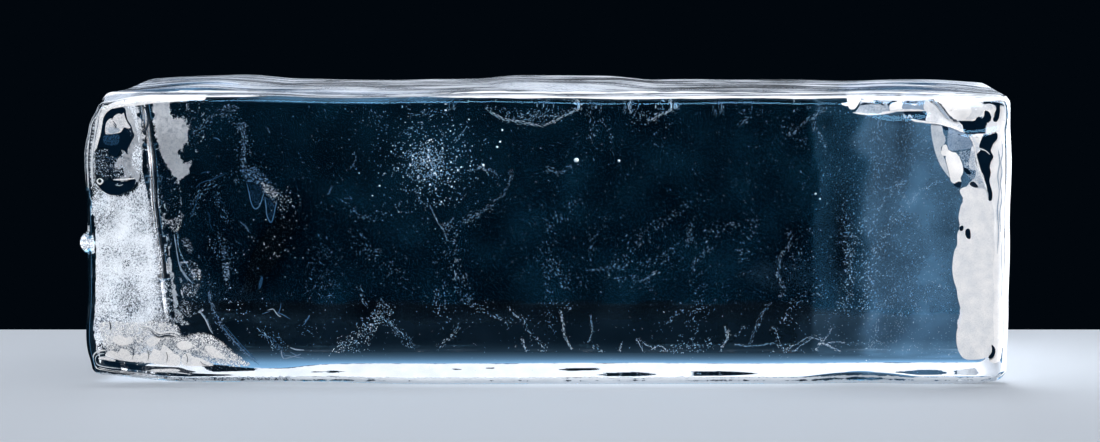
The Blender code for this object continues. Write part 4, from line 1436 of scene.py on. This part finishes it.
# patches on the front: tone from dark to white, where below zero is painted shade, how speckled, and outline
# as seen; later ones lie nearer
patches = {
    "rightStrip": (
        (0.97, 0.02, (990, 122, 996, 112, 1003, 106, 1007, 112, 1008.6, 130, 1009, 180, 1009, 240, 1008.6,
         300, 1007.6, 345, 1004, 360, 990, 361.6, 988, 330, 990, 300, 988, 260, 990.6, 230, 991, 200, 990,
         160)),
    ),
    "lensHollow": (
        # this first patch is painted shade round the white lens
        (-1, 0, (102, 117.5, 106, 112, 113, 108, 120, 106.8, 124.5, 109, 125.5, 114, 127, 120, 130.5, 125,
         132.5, 131, 134, 136, 131.5, 141, 129, 146, 127.5, 150, 127, 155, 124, 151, 120, 150.5, 117, 155.5,
         113, 156.5, 110, 153, 108, 148.5, 103, 147.4, 98.5, 147, 98, 143, 99.5, 137, 101, 130, 102, 124)),
        (0.86, 0.12, (105, 124, 108, 119.5, 110.5, 118.4, 111.2, 119.8, 113.5, 116, 118, 113.5, 121, 114.6,
         123, 113, 124.5, 118, 127, 123, 130, 127.5, 127, 128.5, 123.5, 127.5, 121, 131.5, 118, 133, 112, 134,
         105, 133.8)),
        (0.62, 0.1, (107, 129, 112, 127, 119, 129, 117.5, 132.6, 110, 133.4)),
        (-0.35, 0.15, (104, 135, 117, 134.6, 119, 139, 117, 144.5, 110, 145.5, 103.5, 143)),
        (0.45, 1, (126, 129, 131, 129, 133, 134, 131.5, 138, 128.5, 134)),
        (0.95, 0.1, (99, 99.6, 104, 97, 115, 95.8, 130, 95.2, 150, 95.8, 175, 95.8, 205, 95, 204, 96.8, 190,
         98.3, 170, 101.3, 150, 103.8, 135, 105.8, 122, 106.2, 114, 107.5, 107, 111.5, 103, 117, 101.5, 124,
         100.5, 132, 98.5, 140, 96, 149, 93, 150, 96, 135, 98, 122, 98.8, 112, 97.4, 104)),
    ),
    "swirls": (
        (0.62, 1, (97, 149, 107, 149, 112, 156, 118, 155.5, 121, 151.5, 126, 152, 126, 160, 128, 168, 133,
         172, 136, 174, 134, 178, 115, 179.5, 104, 178, 98, 176, 94, 172, 93.5, 160, 96, 152)),
        (-1, 0, (98, 184.5, 103, 182, 109, 180.5, 112, 181, 116, 182.5, 134, 180, 135.5, 181, 133.5, 186, 128,
         190.5, 120, 194.5, 112, 195.5, 105, 193, 100, 189)),
        (0.5, 1, (113, 182.2, 122, 182, 124, 186, 117, 187)),
    ),
    "gapBesideTongue": (
        (-0.9, 0.75, (150, 139, 158, 142.5, 161, 151, 163.5, 160, 167, 167, 171, 173, 176, 180, 177, 190, 172,
         200, 166, 206, 160, 196, 155, 183, 151, 172, 154, 160, 152, 148)),
    ),
    "topStreaks": (
        (0.1, 0.05, (122, 90.6, 135, 89.5, 150, 88.5, 170, 88.2, 200, 89.4, 215, 90.6, 200, 91.4, 165, 92.4,
         140, 93.6, 126, 92.8)),
        (0.2, 0.05, (150, 86.4, 168, 85, 190, 85.4, 213, 86.4, 190, 87, 168, 87)),
        (0.3, 0.05, (162, 82.6, 180, 81.4, 203, 82.2, 185, 83)),
        (0.2, 0.05, (203, 87, 222, 86, 250, 87.6, 246, 89.4, 226, 88.6)),
        (0.45, 0.05, (255, 91, 290, 89, 340, 89.6, 395, 90.6, 440, 90, 400, 93.4, 330, 93.6, 280, 93.4)),
        (0.1, 0.05, (838, 83.6, 868, 82.2, 900, 84.4, 922, 86.4, 950, 87.4, 938, 89, 905, 88.6, 878, 87, 850,
         86.8)),
        (0.15, 0.05, (878, 90, 892, 87.6, 915, 88, 946, 90.4, 925, 91)),
        (0.2, 0.05, (912, 82.6, 932, 82, 950, 84, 940, 85)),
    ),
    # rime on melted scars, with painted highlights on their faces and painted shade in their cracks
    "topRightScars": (
        (1, 0, (846, 93, 852, 91, 858, 91, 861, 95, 861.5, 100, 859, 105, 855, 109, 850, 109, 848.5, 106, 845,
         105.5, 842, 103, 842, 101, 846, 100.5, 848, 98, 846, 95)),
        (0.62, 0.12, (861, 91.5, 880, 90.5, 900, 90.5, 902, 93, 893, 98, 889, 103, 889.5, 111, 880, 112.6,
         864, 113, 856, 112, 861, 106, 861.5, 98)),
        (0.95, 0.1, (863, 93, 868, 91.5, 874, 94, 875, 99, 869, 101.5, 863, 100)),
        (-0.75, 0.15, (861, 104.8, 866, 101.8, 872, 101.8, 876.5, 99.5, 877.5, 95.6, 881, 95, 884.5, 98,
         882.5, 100.5, 886, 103.4, 883, 104, 880, 102, 874, 103, 868, 104, 862.5, 105)),
        (-0.4, 0.1, (872.6, 92, 878, 90.6, 880.4, 91.6, 876, 93.2)),
        (-0.8, 0, (888, 103.4, 889.6, 99, 894, 96.2, 898, 93.2, 901, 91.6, 902.7, 93, 899, 95.4, 894.4, 98.8,
         891.4, 101, 889.5, 103.6)),
        (1, 0, (891, 103, 894, 99.4, 899, 96.6, 904.5, 94.5, 905.6, 97, 903.5, 102, 903.4, 109.5, 896, 110.5,
         891, 111.5, 890, 107)),
        (0.42, 0.1, (904.5, 92, 924, 91, 926, 95, 924, 99, 924, 109.5, 904, 109.8, 903.8, 102)),
        (0.9, 0, (912, 102, 915, 100.8, 918.4, 102, 916, 104)),
        (-0.9, 0, (907.6, 98.8, 909.8, 95.2, 914, 94.6, 918, 95.6, 922, 94.8, 925, 92.6, 925.8, 96, 923.7,
         99.8, 922.3, 97.8, 916, 98.4, 910, 99.3)),
        (-0.65, 0.03, (905, 112, 926, 112, 927, 119, 918, 119.2, 913, 116.5, 908, 115)),
        (0.84, 0.06, (925, 92, 930, 95.5, 936, 100, 941, 105, 947, 112, 953, 118.5, 960, 123, 966, 127, 968,
         129, 958, 126, 948, 124.3, 927, 122, 927, 112, 924.5, 109, 924.5, 99, 926, 95)),
        (0.98, 0.02, (928, 92.5, 950, 92, 968, 92.5, 977, 97, 984, 100.5, 990, 103, 994, 107, 995, 113, 992,
         117, 989, 113.5, 987.5, 110.5, 985.5, 116, 980, 118, 977, 121, 970, 122.5, 959, 122.5, 954, 119, 947,
         111, 941, 104.5, 934, 97.5)),
        (0.82, 0.05, (971, 101, 980, 100, 990, 104, 992, 110, 986, 110, 982, 116, 974, 120, 966, 121, 973,
         112)),
        (0.5, 0.05, (984, 95.6, 993, 97.4, 1002, 97.6, 1006, 101, 1006, 103.6, 998, 101.5, 990, 99.5)),
        (-1, 0, (974.6, 93, 981, 95.6, 988, 98.2, 996, 100.4, 1003, 102.2, 1007, 105.5, 1001, 104.7, 999.2,
         106, 999, 113, 997, 119.5, 993.2, 121, 994.8, 114, 994.8, 106.4, 990, 103.2, 984.6, 102.4, 979.6,
         98.8, 975.6, 95.9)),
        (0.86, 0.02, (986, 124, 992, 121, 996, 122, 996, 130, 990, 131.8, 984, 131, 985, 127)),
        (-1, 0, (987, 110.6, 990.2, 112.6, 992.4, 117.5, 991.4, 121.4, 988, 124.2, 986, 128, 984.4, 131.4,
         975, 132, 969.6, 130.4, 966, 127.7, 960.6, 123.4, 968, 122.8, 975, 121.8, 978, 118.3, 980.5, 117.2,
         983, 119, 985.3, 116, 985.8, 111.8)),
        (0.98, 0.03, (972.8, 131.9, 984.2, 131.5, 983.2, 136, 981, 140, 977.5, 143.6, 974.4, 139)),
        (-1, 0, (984, 132.5, 990, 134, 995, 131, 997.6, 134, 997.6, 139, 994.2, 143, 992.2, 147, 991.2, 151,
         993.2, 155, 993.6, 158, 991.2, 162, 990.2, 168, 991.2, 173, 989.7, 181, 991.2, 187, 992.7, 193,
         992.2, 200, 989, 200.6, 988.6, 194, 986.2, 187, 984.8, 180, 983.2, 174, 979.7, 170, 976.7, 166,
         975.2, 159, 976.8, 154, 980.8, 150.5, 978.8, 147, 980.3, 143, 981.8, 139)),
        (0.7, 0.06, (931.8, 124, 940, 124.5, 943, 127, 943.5, 133, 946, 139, 944, 145, 941.5, 147, 941.5, 152,
         944, 157, 947, 166, 948.5, 172, 950, 178, 945, 172, 940, 164, 936, 154, 933, 142, 931.5, 132)),
        (0.95, 0.05, (943, 146, 947, 145, 949, 150, 952, 153, 946, 156, 941.5, 154)),
        (0.38, 0.14, (950, 126.5, 960, 127, 967, 130, 971, 135, 973.5, 141, 971, 148.5, 962, 150, 950, 150,
         948, 140, 949, 131)),
        (-0.7, 0.05, (944.3, 124.6, 949.5, 126, 950.2, 129.6, 944.6, 129.2)),
        (0.55, 0.4, (958, 152, 970, 150.5, 975, 152.5, 975, 161, 978, 170, 981, 176, 984, 183, 978, 184, 970,
         180, 965, 172, 963, 163)),
        (0.98, 0.03, (949, 150.5, 953, 152, 957, 153, 960, 157, 962.5, 163, 963.5, 172, 961, 178, 961.5, 182,
         957, 184, 951.5, 182, 950, 176, 947.5, 166, 946, 158)),
        (-0.9, 0, (963.6, 167.6, 968, 168.6, 971.4, 174, 968, 174.6, 965, 171)),
        (-0.9, 0.02, (969.6, 184, 974, 181.6, 978.6, 187.4, 973.6, 187.4)),
        (-0.8, 0.02, (954, 184.4, 958.8, 181.8, 962, 183, 960, 188, 955.4, 186.4)),
        (0.9, 0.04, (961, 189, 968, 186.6, 973, 188.4, 979, 188.6, 986, 190, 989, 200.8, 992, 202, 994.6, 215,
         993.6, 232, 995, 250, 993, 270, 994.6, 292, 993.4, 315, 994.4, 335, 993, 349, 987, 357.6, 975, 360,
         964, 358.6, 958.4, 350, 956.6, 340, 957.4, 330, 961, 320, 961, 310, 958, 298, 957, 290, 954, 280,
         952.6, 268, 954.4, 252, 957.4, 245, 957.6, 234, 960.4, 227, 958.8, 218, 961, 206, 963.8, 200, 960.4,
         193)),
        (-0.95, 0, (966, 230, 969.6, 229, 971, 234, 970.6, 239, 967.6, 238.6, 965.6, 235)),
        (-0.95, 0, (960, 227, 963.6, 226, 963.4, 230.4, 960.4, 231)),
        (-0.95, 0, (992, 345, 995.6, 349.4, 994.6, 356, 991, 359, 988.6, 357.4, 992.2, 352)),
    ),
    "heapAtFoot": (
        (0.85, 0.33, (100, 326, 112, 322, 130, 323, 145, 322, 165, 323, 177, 326, 184, 337, 194, 334, 206,
         334, 217, 339, 226, 346, 238, 356, 250, 364.5, 236, 366.5, 222, 366, 205, 366, 190, 367, 172, 366,
         150, 365, 125, 362, 108, 358, 101, 340)),
        (1, 0.34, (98, 324, 112, 321, 130, 322, 145, 321, 165, 322, 177, 325, 184, 336, 194, 333, 206, 333,
         217, 338, 226, 345, 238, 355, 252, 365.5, 236, 367.5, 222, 366, 205, 358, 190, 352, 172, 342, 150,
         344, 125, 346, 108, 351, 101, 340)),
        (1, 0.08, (105, 357, 110, 351, 117, 353, 121, 349, 128, 351, 131, 356, 138, 355, 142, 362, 125,
         361.6)),
        (1, 0.08, (139, 361, 143, 353, 150, 355, 153, 349, 160, 351, 163, 345, 169, 349, 174, 354, 180, 357,
         178, 365.6, 160, 365)),
        (1, 0.08, (182, 365, 182, 357, 188, 353, 193, 357, 199, 358, 206, 361, 213, 366, 195, 366.4)),
        (1, 0.08, (112, 340, 119, 335, 125, 338, 130, 336, 133, 342, 124, 346, 116, 344)),
        (1, 0.08, (146, 343, 151, 337, 160, 338, 158, 343, 151, 347)),
        (1, 0.08, (176, 345, 183, 341, 192, 344, 190, 349, 181, 350)),
        (1, 0.08, (205, 347, 212, 346, 219, 352, 226, 359, 216, 358, 208, 353)),
        (-0.85, 0.5, (177, 328.6, 182, 326.4, 187, 329.6, 187.4, 335, 182, 337.6, 178, 334)),
        # the next two dark bands are painted shade along the rounded foot edge
        (-0.9, 0.06, (106, 361.4, 113, 362.6, 130, 364.6, 150, 366.4, 178, 367.6, 186, 370, 196, 372.6, 180,
         373.4, 160, 372.6, 135, 370.4, 115, 367, 104, 364)),
        (-0.65, 0.06, (114, 369.8, 140, 373.2, 165, 375, 200, 376, 236, 375.6, 200, 377.2, 160, 376.8, 130,
         374.4, 112, 371)),
        (0.95, 0.1, (150, 370.4, 160, 369.4, 175, 369.2, 180, 371.2, 172, 372.8, 158, 372.8)),
    ),
    "tufts": (
        (0.7, 0.8, (160, 224, 166, 219, 174, 217, 182, 213.5, 185, 216, 183, 222, 180, 228, 177, 234, 172,
         232, 166, 227)),
        (0.5, 1, (168, 232, 172, 238, 173, 248, 171, 252, 167, 246, 165, 238)),
        (0.6, 1, (183, 236, 190, 240, 193, 249, 190, 254, 184, 250, 181, 243)),
        (0.85, 0.9, (188, 268, 196, 268, 200, 272, 202, 279, 196, 281, 190, 276)),
        (0.75, 1, (183, 284, 192, 283, 200, 284, 199, 290, 195, 297, 187, 297, 180, 292)),
        (0.7, 1, (180, 300, 188, 301, 192, 308, 190, 316, 182, 318, 178, 312)),
        (-0.3, 1, (158, 281, 166, 281, 167, 292, 165, 301, 158, 299)),
        (-0.55, 0.8, (123, 260, 129, 259.4, 131, 265, 127, 270, 121, 269)),
    ),
    "bluishFilm": (
        (0.25, 0.85, (206, 290, 209, 288.6, 213, 300, 217, 312, 223, 322, 231, 333, 240, 343, 250, 353, 262,
         364, 256, 365, 246, 357, 236, 349, 227, 340, 219, 329, 213, 319, 209, 306)),
    ),
    "archAndDrips": (
        (0.35, 0.9, (199, 125, 205, 119, 211, 114.5, 218, 112.6, 228, 113, 233, 117, 232, 119.6, 226, 117.6,
         216, 117, 209, 121.5, 202, 127)),
        (0.3, 1, (212, 112, 218, 106.5, 226, 103, 236, 104, 239, 109, 233, 113, 224, 112.6)),
        (0.2, 0.95, (240, 121, 245, 120, 247.5, 126, 247.4, 140, 246.2, 155, 247, 168.6, 240.4, 168.6, 239,
         157, 241, 143, 239.6, 131, 234, 124)),
        (0.1, 0.7, (240, 169, 247, 168.4, 254, 166.4, 262, 172, 269, 178, 273, 184, 277.4, 190, 277.6, 196,
         272, 200, 267, 197, 261, 190.5, 255, 184, 248, 183, 243, 178)),
        (0.8, 0.8, (259, 181, 264, 182, 270, 184, 277, 191, 277.6, 196, 272, 199.6, 267, 195, 262, 189)),
        (-0.5, 0.4, (246, 182, 249, 192, 251, 202, 253.6, 207.6, 257, 208.5, 260, 205, 263, 197, 263.6, 191,
         258, 184.6, 250, 182.4)),
        (-0.5, 0.35, (264.4, 196.6, 266, 208, 267, 216, 270, 221.4, 272.6, 221, 274.6, 213, 276.4, 204, 275,
         199.6, 269, 196.6)),
    ),
    "smallFilms": (
        (0.08, 0.9, (258, 329, 267, 333, 277, 340, 284, 349, 286, 358, 281, 358, 276, 350, 267, 340)),
        (-0.3, 0.1, (261.4, 276.6, 262.8, 278, 262, 284, 259.4, 289.4, 258.4, 285)),
        (0.2, 0.9, (222, 246, 228, 247, 228.6, 256, 223, 261, 220.6, 254)),
        (0.35, 0.8, (222, 264, 230, 262, 231, 270, 229, 281, 223, 281, 222.6, 272)),
    ),
}
# narrow lines on the front: tone, where below zero is painted shade, width in mm and route as it is seen
lines = {
    "edgesAndWisps": (
        (0.1, 0.1, (221, 325, 230, 336.6, 240, 347.4, 250, 357, 259, 365)),
        (-0.1, 0.09, (224, 325, 232.6, 335, 241, 344.6, 250, 354, 257, 361)),
        (0.45, 0.12, (174, 234, 175.6, 244, 177.4, 256, 180, 266, 186, 276, 193, 284)),
        (0.4, 0.12, (177.6, 260, 181, 270, 188, 281)),
        (0.7, 0.14, (199, 311, 205.6, 320, 209.6, 329, 213, 334)),
        (-0.8, 0.16, (157.4, 227.6, 163, 230.4, 170, 233.6)),
        (1, 0.24, (142, 326, 150, 327.4, 155, 331.4, 160, 333.4, 167, 332.2, 174, 332.6, 180, 335)),
        (-0.7, 0.14, (151, 331, 155, 335, 159, 337, 166, 335.4, 176, 336.6)),
        (-0.5, 0.08, (132, 347, 133.4, 352, 132, 359)), (-0.5, 0.08, (147, 349, 148.6, 355, 147.4, 361)),
        (-0.5, 0.08, (166, 352, 167.4, 357, 166, 363)), (-0.5, 0.08, (186, 354, 187.6, 359, 186.6, 364)),
        (-0.5, 0.08, (200, 361, 203, 364, 209, 366)),
        (1, 0.13, (163.4, 323.2, 165.4, 325.4, 163.4, 327.6, 161.4, 325.4, 163.4, 323.2)),
        (-0.9, 0.2, (109, 321, 110.4, 325, 110.6, 330)),
        (0.05, 0.12, (246.6, 183, 249, 193, 250.6, 201, 253, 207, 256, 208.9, 259.4, 206, 262.4, 198, 264,
         192)),
        (0.05, 0.12, (264.6, 197, 266, 207, 266.6, 214, 269, 220.6, 271.4, 222, 273.6, 216, 275.2, 208, 276.8,
         202)),
        (-0.3, 0.09, (195.6, 188, 199.4, 184, 205, 181.4, 212, 179.4, 218, 177, 227, 173)),
        (-0.35, 0.09, (199.4, 185, 198.6, 194, 196, 203, 193, 212, 190, 218)),
        (-0.3, 0.09, (200.6, 173.4, 205, 172, 210.6, 171.6)),
        (-0.4, 0.09, (241.4, 222.6, 246, 226, 249.6, 231)), (0.1, 0.09, (213, 138, 217, 138.4, 220, 140.6)),
        (-0.45, 0.09, (215, 193, 219, 199, 226, 206.4)),
        (-0.45, 0.09, (207, 211, 209.6, 217, 210, 224, 213, 231)),
        (0.6, 0.1, (267.6, 310.4, 273, 309.2, 276, 313, 279, 316, 281, 316.4)),
        (0.1, 0.08, (262, 314, 270, 311.4)), (0.1, 0.08, (276, 312, 283, 315, 290, 319)),
        (0.1, 0.08, (281, 303, 280, 309, 278, 314)), (0, 0.09, (304, 325, 307, 320, 309.6, 317)),
        (0.4, 0.12, (281, 350, 283, 358, 290, 357.6, 301, 354)),
        (0.3, 0.1, (284, 355, 293, 356.6, 304, 358.2)), (0.2, 0.1, (290, 352, 296, 355, 300, 356)),
    ),
    # down the rounded left edge: painted highlights with a line of painted shade between them
    "leftRim": (
        (0.9, 0.2, (95, 104.4, 92.2, 110, 89.8, 119, 88.4, 132, 87.4, 146, 86.8, 160, 87, 175, 87.6, 190)),
        (-0.9, 0.22, (96.6, 106.6, 93.8, 113, 91.6, 122, 90.2, 134, 89.2, 147, 88.8, 160, 89, 172, 89.6, 186,
         90.6, 198)),
        (0.85, 0.31, (99.4, 108, 96.8, 118, 95.2, 130, 93.4, 143, 92, 156, 91.8, 170, 92.6, 186)),
    ),
    "lensStrokes": (
        (-0.5, 0.13, (112.4, 120.6, 114.6, 123.4, 116.6, 126.4)),
        (-0.5, 0.12, (113, 124, 115, 126, 116, 128)),
        (1, 0.2, (99.8, 178.2, 97, 181, 99.8, 184, 102.6, 181, 99.8, 178.2)),
        (0.95, 0.25, (113, 179.8, 122, 179.4, 134.4, 178.4)),
        (0.6, 0.14, (115, 184.6, 119, 185.6, 123, 184.6)), (-0.7, 0.17, (103, 161.4, 108, 160.6, 114, 162.6)),
        (-0.4, 0.13, (104, 156, 111, 158.4, 118, 157)), (-0.5, 0.13, (97, 168.6, 106, 169.4, 116, 168.2)),
    ),
    "hookedGap": (
        (-0.85, 0.22, (141.6, 106.4, 144.6, 107.4, 146.6, 112, 147.8, 120, 147, 127, 144, 131.6, 141.6, 130)),
        (-0.5, 0.14, (141.2, 113, 141.6, 120, 142, 128.6)),
        (-0.2, 0.13, (144, 112.6, 144.4, 118, 144.6, 124)),
    ),
    "loopsInFootCorner": (
        (1, 0.22, (106, 350.6, 98.5, 351.4, 93.4, 355, 91.6, 360.4, 93, 366, 98.6, 370.2, 112, 373.6, 130,
         376, 150, 378)),
        (0.75, 0.14, (104, 353.8, 99, 354.6, 95.6, 357.4, 94.8, 361.4, 97.6, 365.4, 106, 367.6, 120, 369)),
        (1, 0.52, (98, 359, 105, 358.6, 115, 361.2)),
        (0.9, 0.16, (98, 368, 110, 370.8, 130, 373.4, 150, 375)),
        (0.9, 0.21, (146, 370.8, 158, 372, 172, 372.2, 190, 374.6)),
        (1, 0.2, (150, 84.6, 175, 83.8, 205, 84.6, 240, 86.2)),
        (1, 0.21, (838, 91, 870, 89.8, 900, 89.6, 935, 90.6)),
        (0.9, 0.17, (860, 81, 890, 82.6, 925, 85, 955, 87.6)),
    ),
    "topRightLines": (
        (1, 0.3, (853, 112.6, 864, 113.2, 878, 113, 888, 112.4, 900, 110.8, 914, 110.4, 926, 110.4)),
        (1, 0.34, (911, 117.8, 916, 120.4, 926, 122, 940, 123.4, 956, 125.4, 966, 128.6)),
        (0.7, 0.16, (903, 113.6, 907, 116, 910, 114.4, 913, 116.6)),
        (0.55, 0.29, (928, 95, 935, 102, 943, 111, 952, 119.6)),
        (-0.6, 0.17, (929.6, 94, 936.6, 99.6, 942.6, 106.4, 948.6, 113, 955, 119.8, 961, 123.4)),
        (1, 0.31, (969.6, 133, 973.6, 144, 976, 156, 979, 168, 983.6, 180, 987, 190)),
        (0.75, 0.17, (982, 131.4, 988, 132.8, 995, 132.4)),
        (0.8, 0.16, (976, 147.6, 981, 149, 986, 151, 990, 154.6)),
    ),
    "linesInRightStrip": (
        (0.45, 0.13, (1002, 140, 1003.4, 152, 1001, 163, 1002.4, 172, 1000.6, 184, 1002.6, 198, 1000, 214,
         1001.4, 232)),
        (0.5, 0.13, (998.4, 150, 999.8, 162, 998, 176, 999.4, 192, 997.6, 210, 998.8, 232, 997.4, 254)),
        (0.55, 0.12, (1003.6, 236, 1002.4, 256, 1003.6, 280, 1002, 304)),
    ),
    "gleamsOverFoot": (
        (0.5, 0.16, (290, 347.6, 296, 349.6, 304, 350.2)),
    ),
}


def seenOnFront(spots):
    # the places of a route or outline that is seen on the front, in hundredths of a mm
    places = [seenAt(across, down, frostLightAndShade["seenDeep"]) for across, down in inPairs(spots)]
    return [Vector((round(a, 2), round(b, 2), 0)) for a, b in places]


def onFront(a, b):
    # a place in mm on the front; what is over its top edge runs on along the top
    over = max(0, b - blank["height"] / mm)
    run = frostLightAndShade["runOn"] * over
    return Vector((a * (1 + run / frostLightAndShade["eyeDistance"]), lowCorner.y / mm + run, b - over))


def underSkin(place, under):
    nearest, normal, index, distance = skin.find_nearest(place * mm)
    return nearest - normal * under * mm


def addPatch(whole, tone, speckled, outline, under):
    piece = bmesh.new()
    toneLayer, speckledLayer = [piece.verts.layers.float.new(name) for name in ("tone", "speckled")]
    verts = [piece.verts.new(place) for place in smoothCurve(outline, 3, closed=True)]
    edges = [piece.edges.new((a, b)) for a, b in zip(verts, verts[1:] + verts[:1])]
    bmesh.ops.triangle_fill(piece, edges=edges, use_beauty=True)
    for split in range(4):
        long = [e for e in piece.edges if e.calc_length() > frostLightAndShade["cell"]]
        if long:
            bmesh.ops.subdivide_edges(piece, edges=long, cuts=1)
            bmesh.ops.triangulate(piece, faces=piece.faces)
    for vert in piece.verts:
        vert[toneLayer] = tone
        isFrayed = vert.is_boundary and speckled > frostLightAndShade["fraysFrom"]
        vert[speckledLayer] = speckled + (frostLightAndShade["frays"] if isFrayed else 0)
        vert.co = underSkin(onFront(vert.co.x, vert.co.y), under)
    mesh = toMesh(piece, "patch")
    whole.from_mesh(mesh)
    bpy.data.meshes.remove(mesh)


def addLine(whole, layers, tone, width, places):
    route = smoothCurve(places, 6)
    rows = []
    for k, place in enumerate(route):
        run = (route[min(k + 1, len(route) - 1)] - route[max(k - 1, 0)]).normalized()
        side = Vector((-run.y, run.x, 0))
        reach = smoothstep(min(k, len(route) - 1 - k) / frostLightAndShade["taper"])
        taper = frostLightAndShade["thinEnd"] + (1 - frostLightAndShade["thinEnd"]) * reach
        half = width / 2 * taper * (1 + frostLightAndShade["uneven"] * noise.noise(place * frostLightAndShade["unevenScale"]))
        row = []
        for share in (-1, -0.33, 0.33, 1):
            spot = place + side * half * share
            vert = whole.verts.new(underSkin(onFront(spot.x, spot.y), frostLightAndShade["linesUnder"]))
            vert[layers[0]] = tone * (1 if abs(share) < 1 else frostLightAndShade["edgeTone"])
            vert[layers[1]] = frostLightAndShade["lineSpeckled"]
            row.append(vert)
        rows.append(row)
    for near, far in zip(rows, rows[1:]):
        for k in range(3):
            whole.faces.new((near[k], near[k + 1], far[k + 1], far[k]))


def makeFrostLightAndShadeLook():
    # rime in scratches and scars: white where it is thick, blue-grey where it is a film; a tone below zero is
    # painted shade
    made, tree, shader = newMaterial("frost_with_painted_light_and_shade")
    place = addNode(tree, "ShaderNodeTexCoord").node.outputs["Object"]
    tone, speckled = [readLayer(tree, name) for name in ("tone", "speckled")]
    clouds = addNoise(tree, place, frostLightAndShade["cloudScale"], Detail=4.0)
    uneven = addMath(tree, "MULTIPLY_ADD", clouds, *frostLightAndShade["clouds"])
    evened = addMath(tree, "ADD", tone, uneven)
    grain = addNoise(tree, place, 1 / frostLightAndShade["speckleSize"], Detail=1.5, Distortion=0.8)
    ridge = addMath(tree, "SUBTRACT", grain, 0.5)
    fromRidge = addMath(tree, "ABSOLUTE", ridge)
    gap = addMath(tree, "MULTIPLY", speckled, frostLightAndShade["gapWidth"])
    gapTo = addMath(tree, "ADD", gap, frostLightAndShade["gapSoft"])
    leastAlpha = addMath(tree, "MULTIPLY_ADD", speckled, *frostLightAndShade["least"], clamp=True)
    alpha = addMap(tree, fromRidge, gap, gapTo, leastAlpha)
    # grains are bluer where they thin out
    thinner = addMath(tree, "MULTIPLY_ADD", alpha, *frostLightAndShade["thinBluer"])
    mixed = addMath(tree, "ADD", evened, thinner)
    onRamp = addMath(tree, "MULTIPLY_ADD", mixed, 0.5, 0.5)
    ramp = addNode(tree, "ShaderNodeValToRGB", {}, {"Fac": onRamp}).node
    while len(ramp.color_ramp.elements) < len(frostLightAndShade["tones"]):
        ramp.color_ramp.elements.new(0.5)
    for element, (at, colour) in zip(ramp.color_ramp.elements, frostLightAndShade["tones"]):
        element.position = at / 2 + 0.5
        element.color = fromHex(colour)
    setInputs(tree, shader, {
        "Base Color": ramp.outputs["Color"], "Alpha": alpha, "Roughness": frostLightAndShade["roughness"],
        "IOR": clearIce["ior"], "Specular IOR Level": 0.0})  # it lies in ice, so it has no gloss of its own
    return made


def makeFrostLightAndShade():
    whole = bmesh.new()
    layers = [whole.verts.layers.float.new(name) for name in ("tone", "speckled")]
    for k, (tone, speckled, spots) in enumerate(allRows(patches)):
        addPatch(whole, tone, speckled, seenOnFront(spots), frostLightAndShade["under"] - frostLightAndShade["nearer"] * k)
    for tone, width, spots in allRows(lines):
        addLine(whole, layers, tone, width, seenOnFront(spots))
    mesh = toMesh(whole, "frost_with_painted_light_and_shade")
    return finishInside("frost_with_painted_light_and_shade", mesh, makeFrostLightAndShadeLook())


iceFaces = [face.vertices for face in iceBody.data.polygons]
skin = BVHTree.FromPolygons([vert.co for vert in iceBody.data.vertices], iceFaces)
makeFrostLightAndShade()

bpy.context.scene.view_settings.view_transform = "Standard"
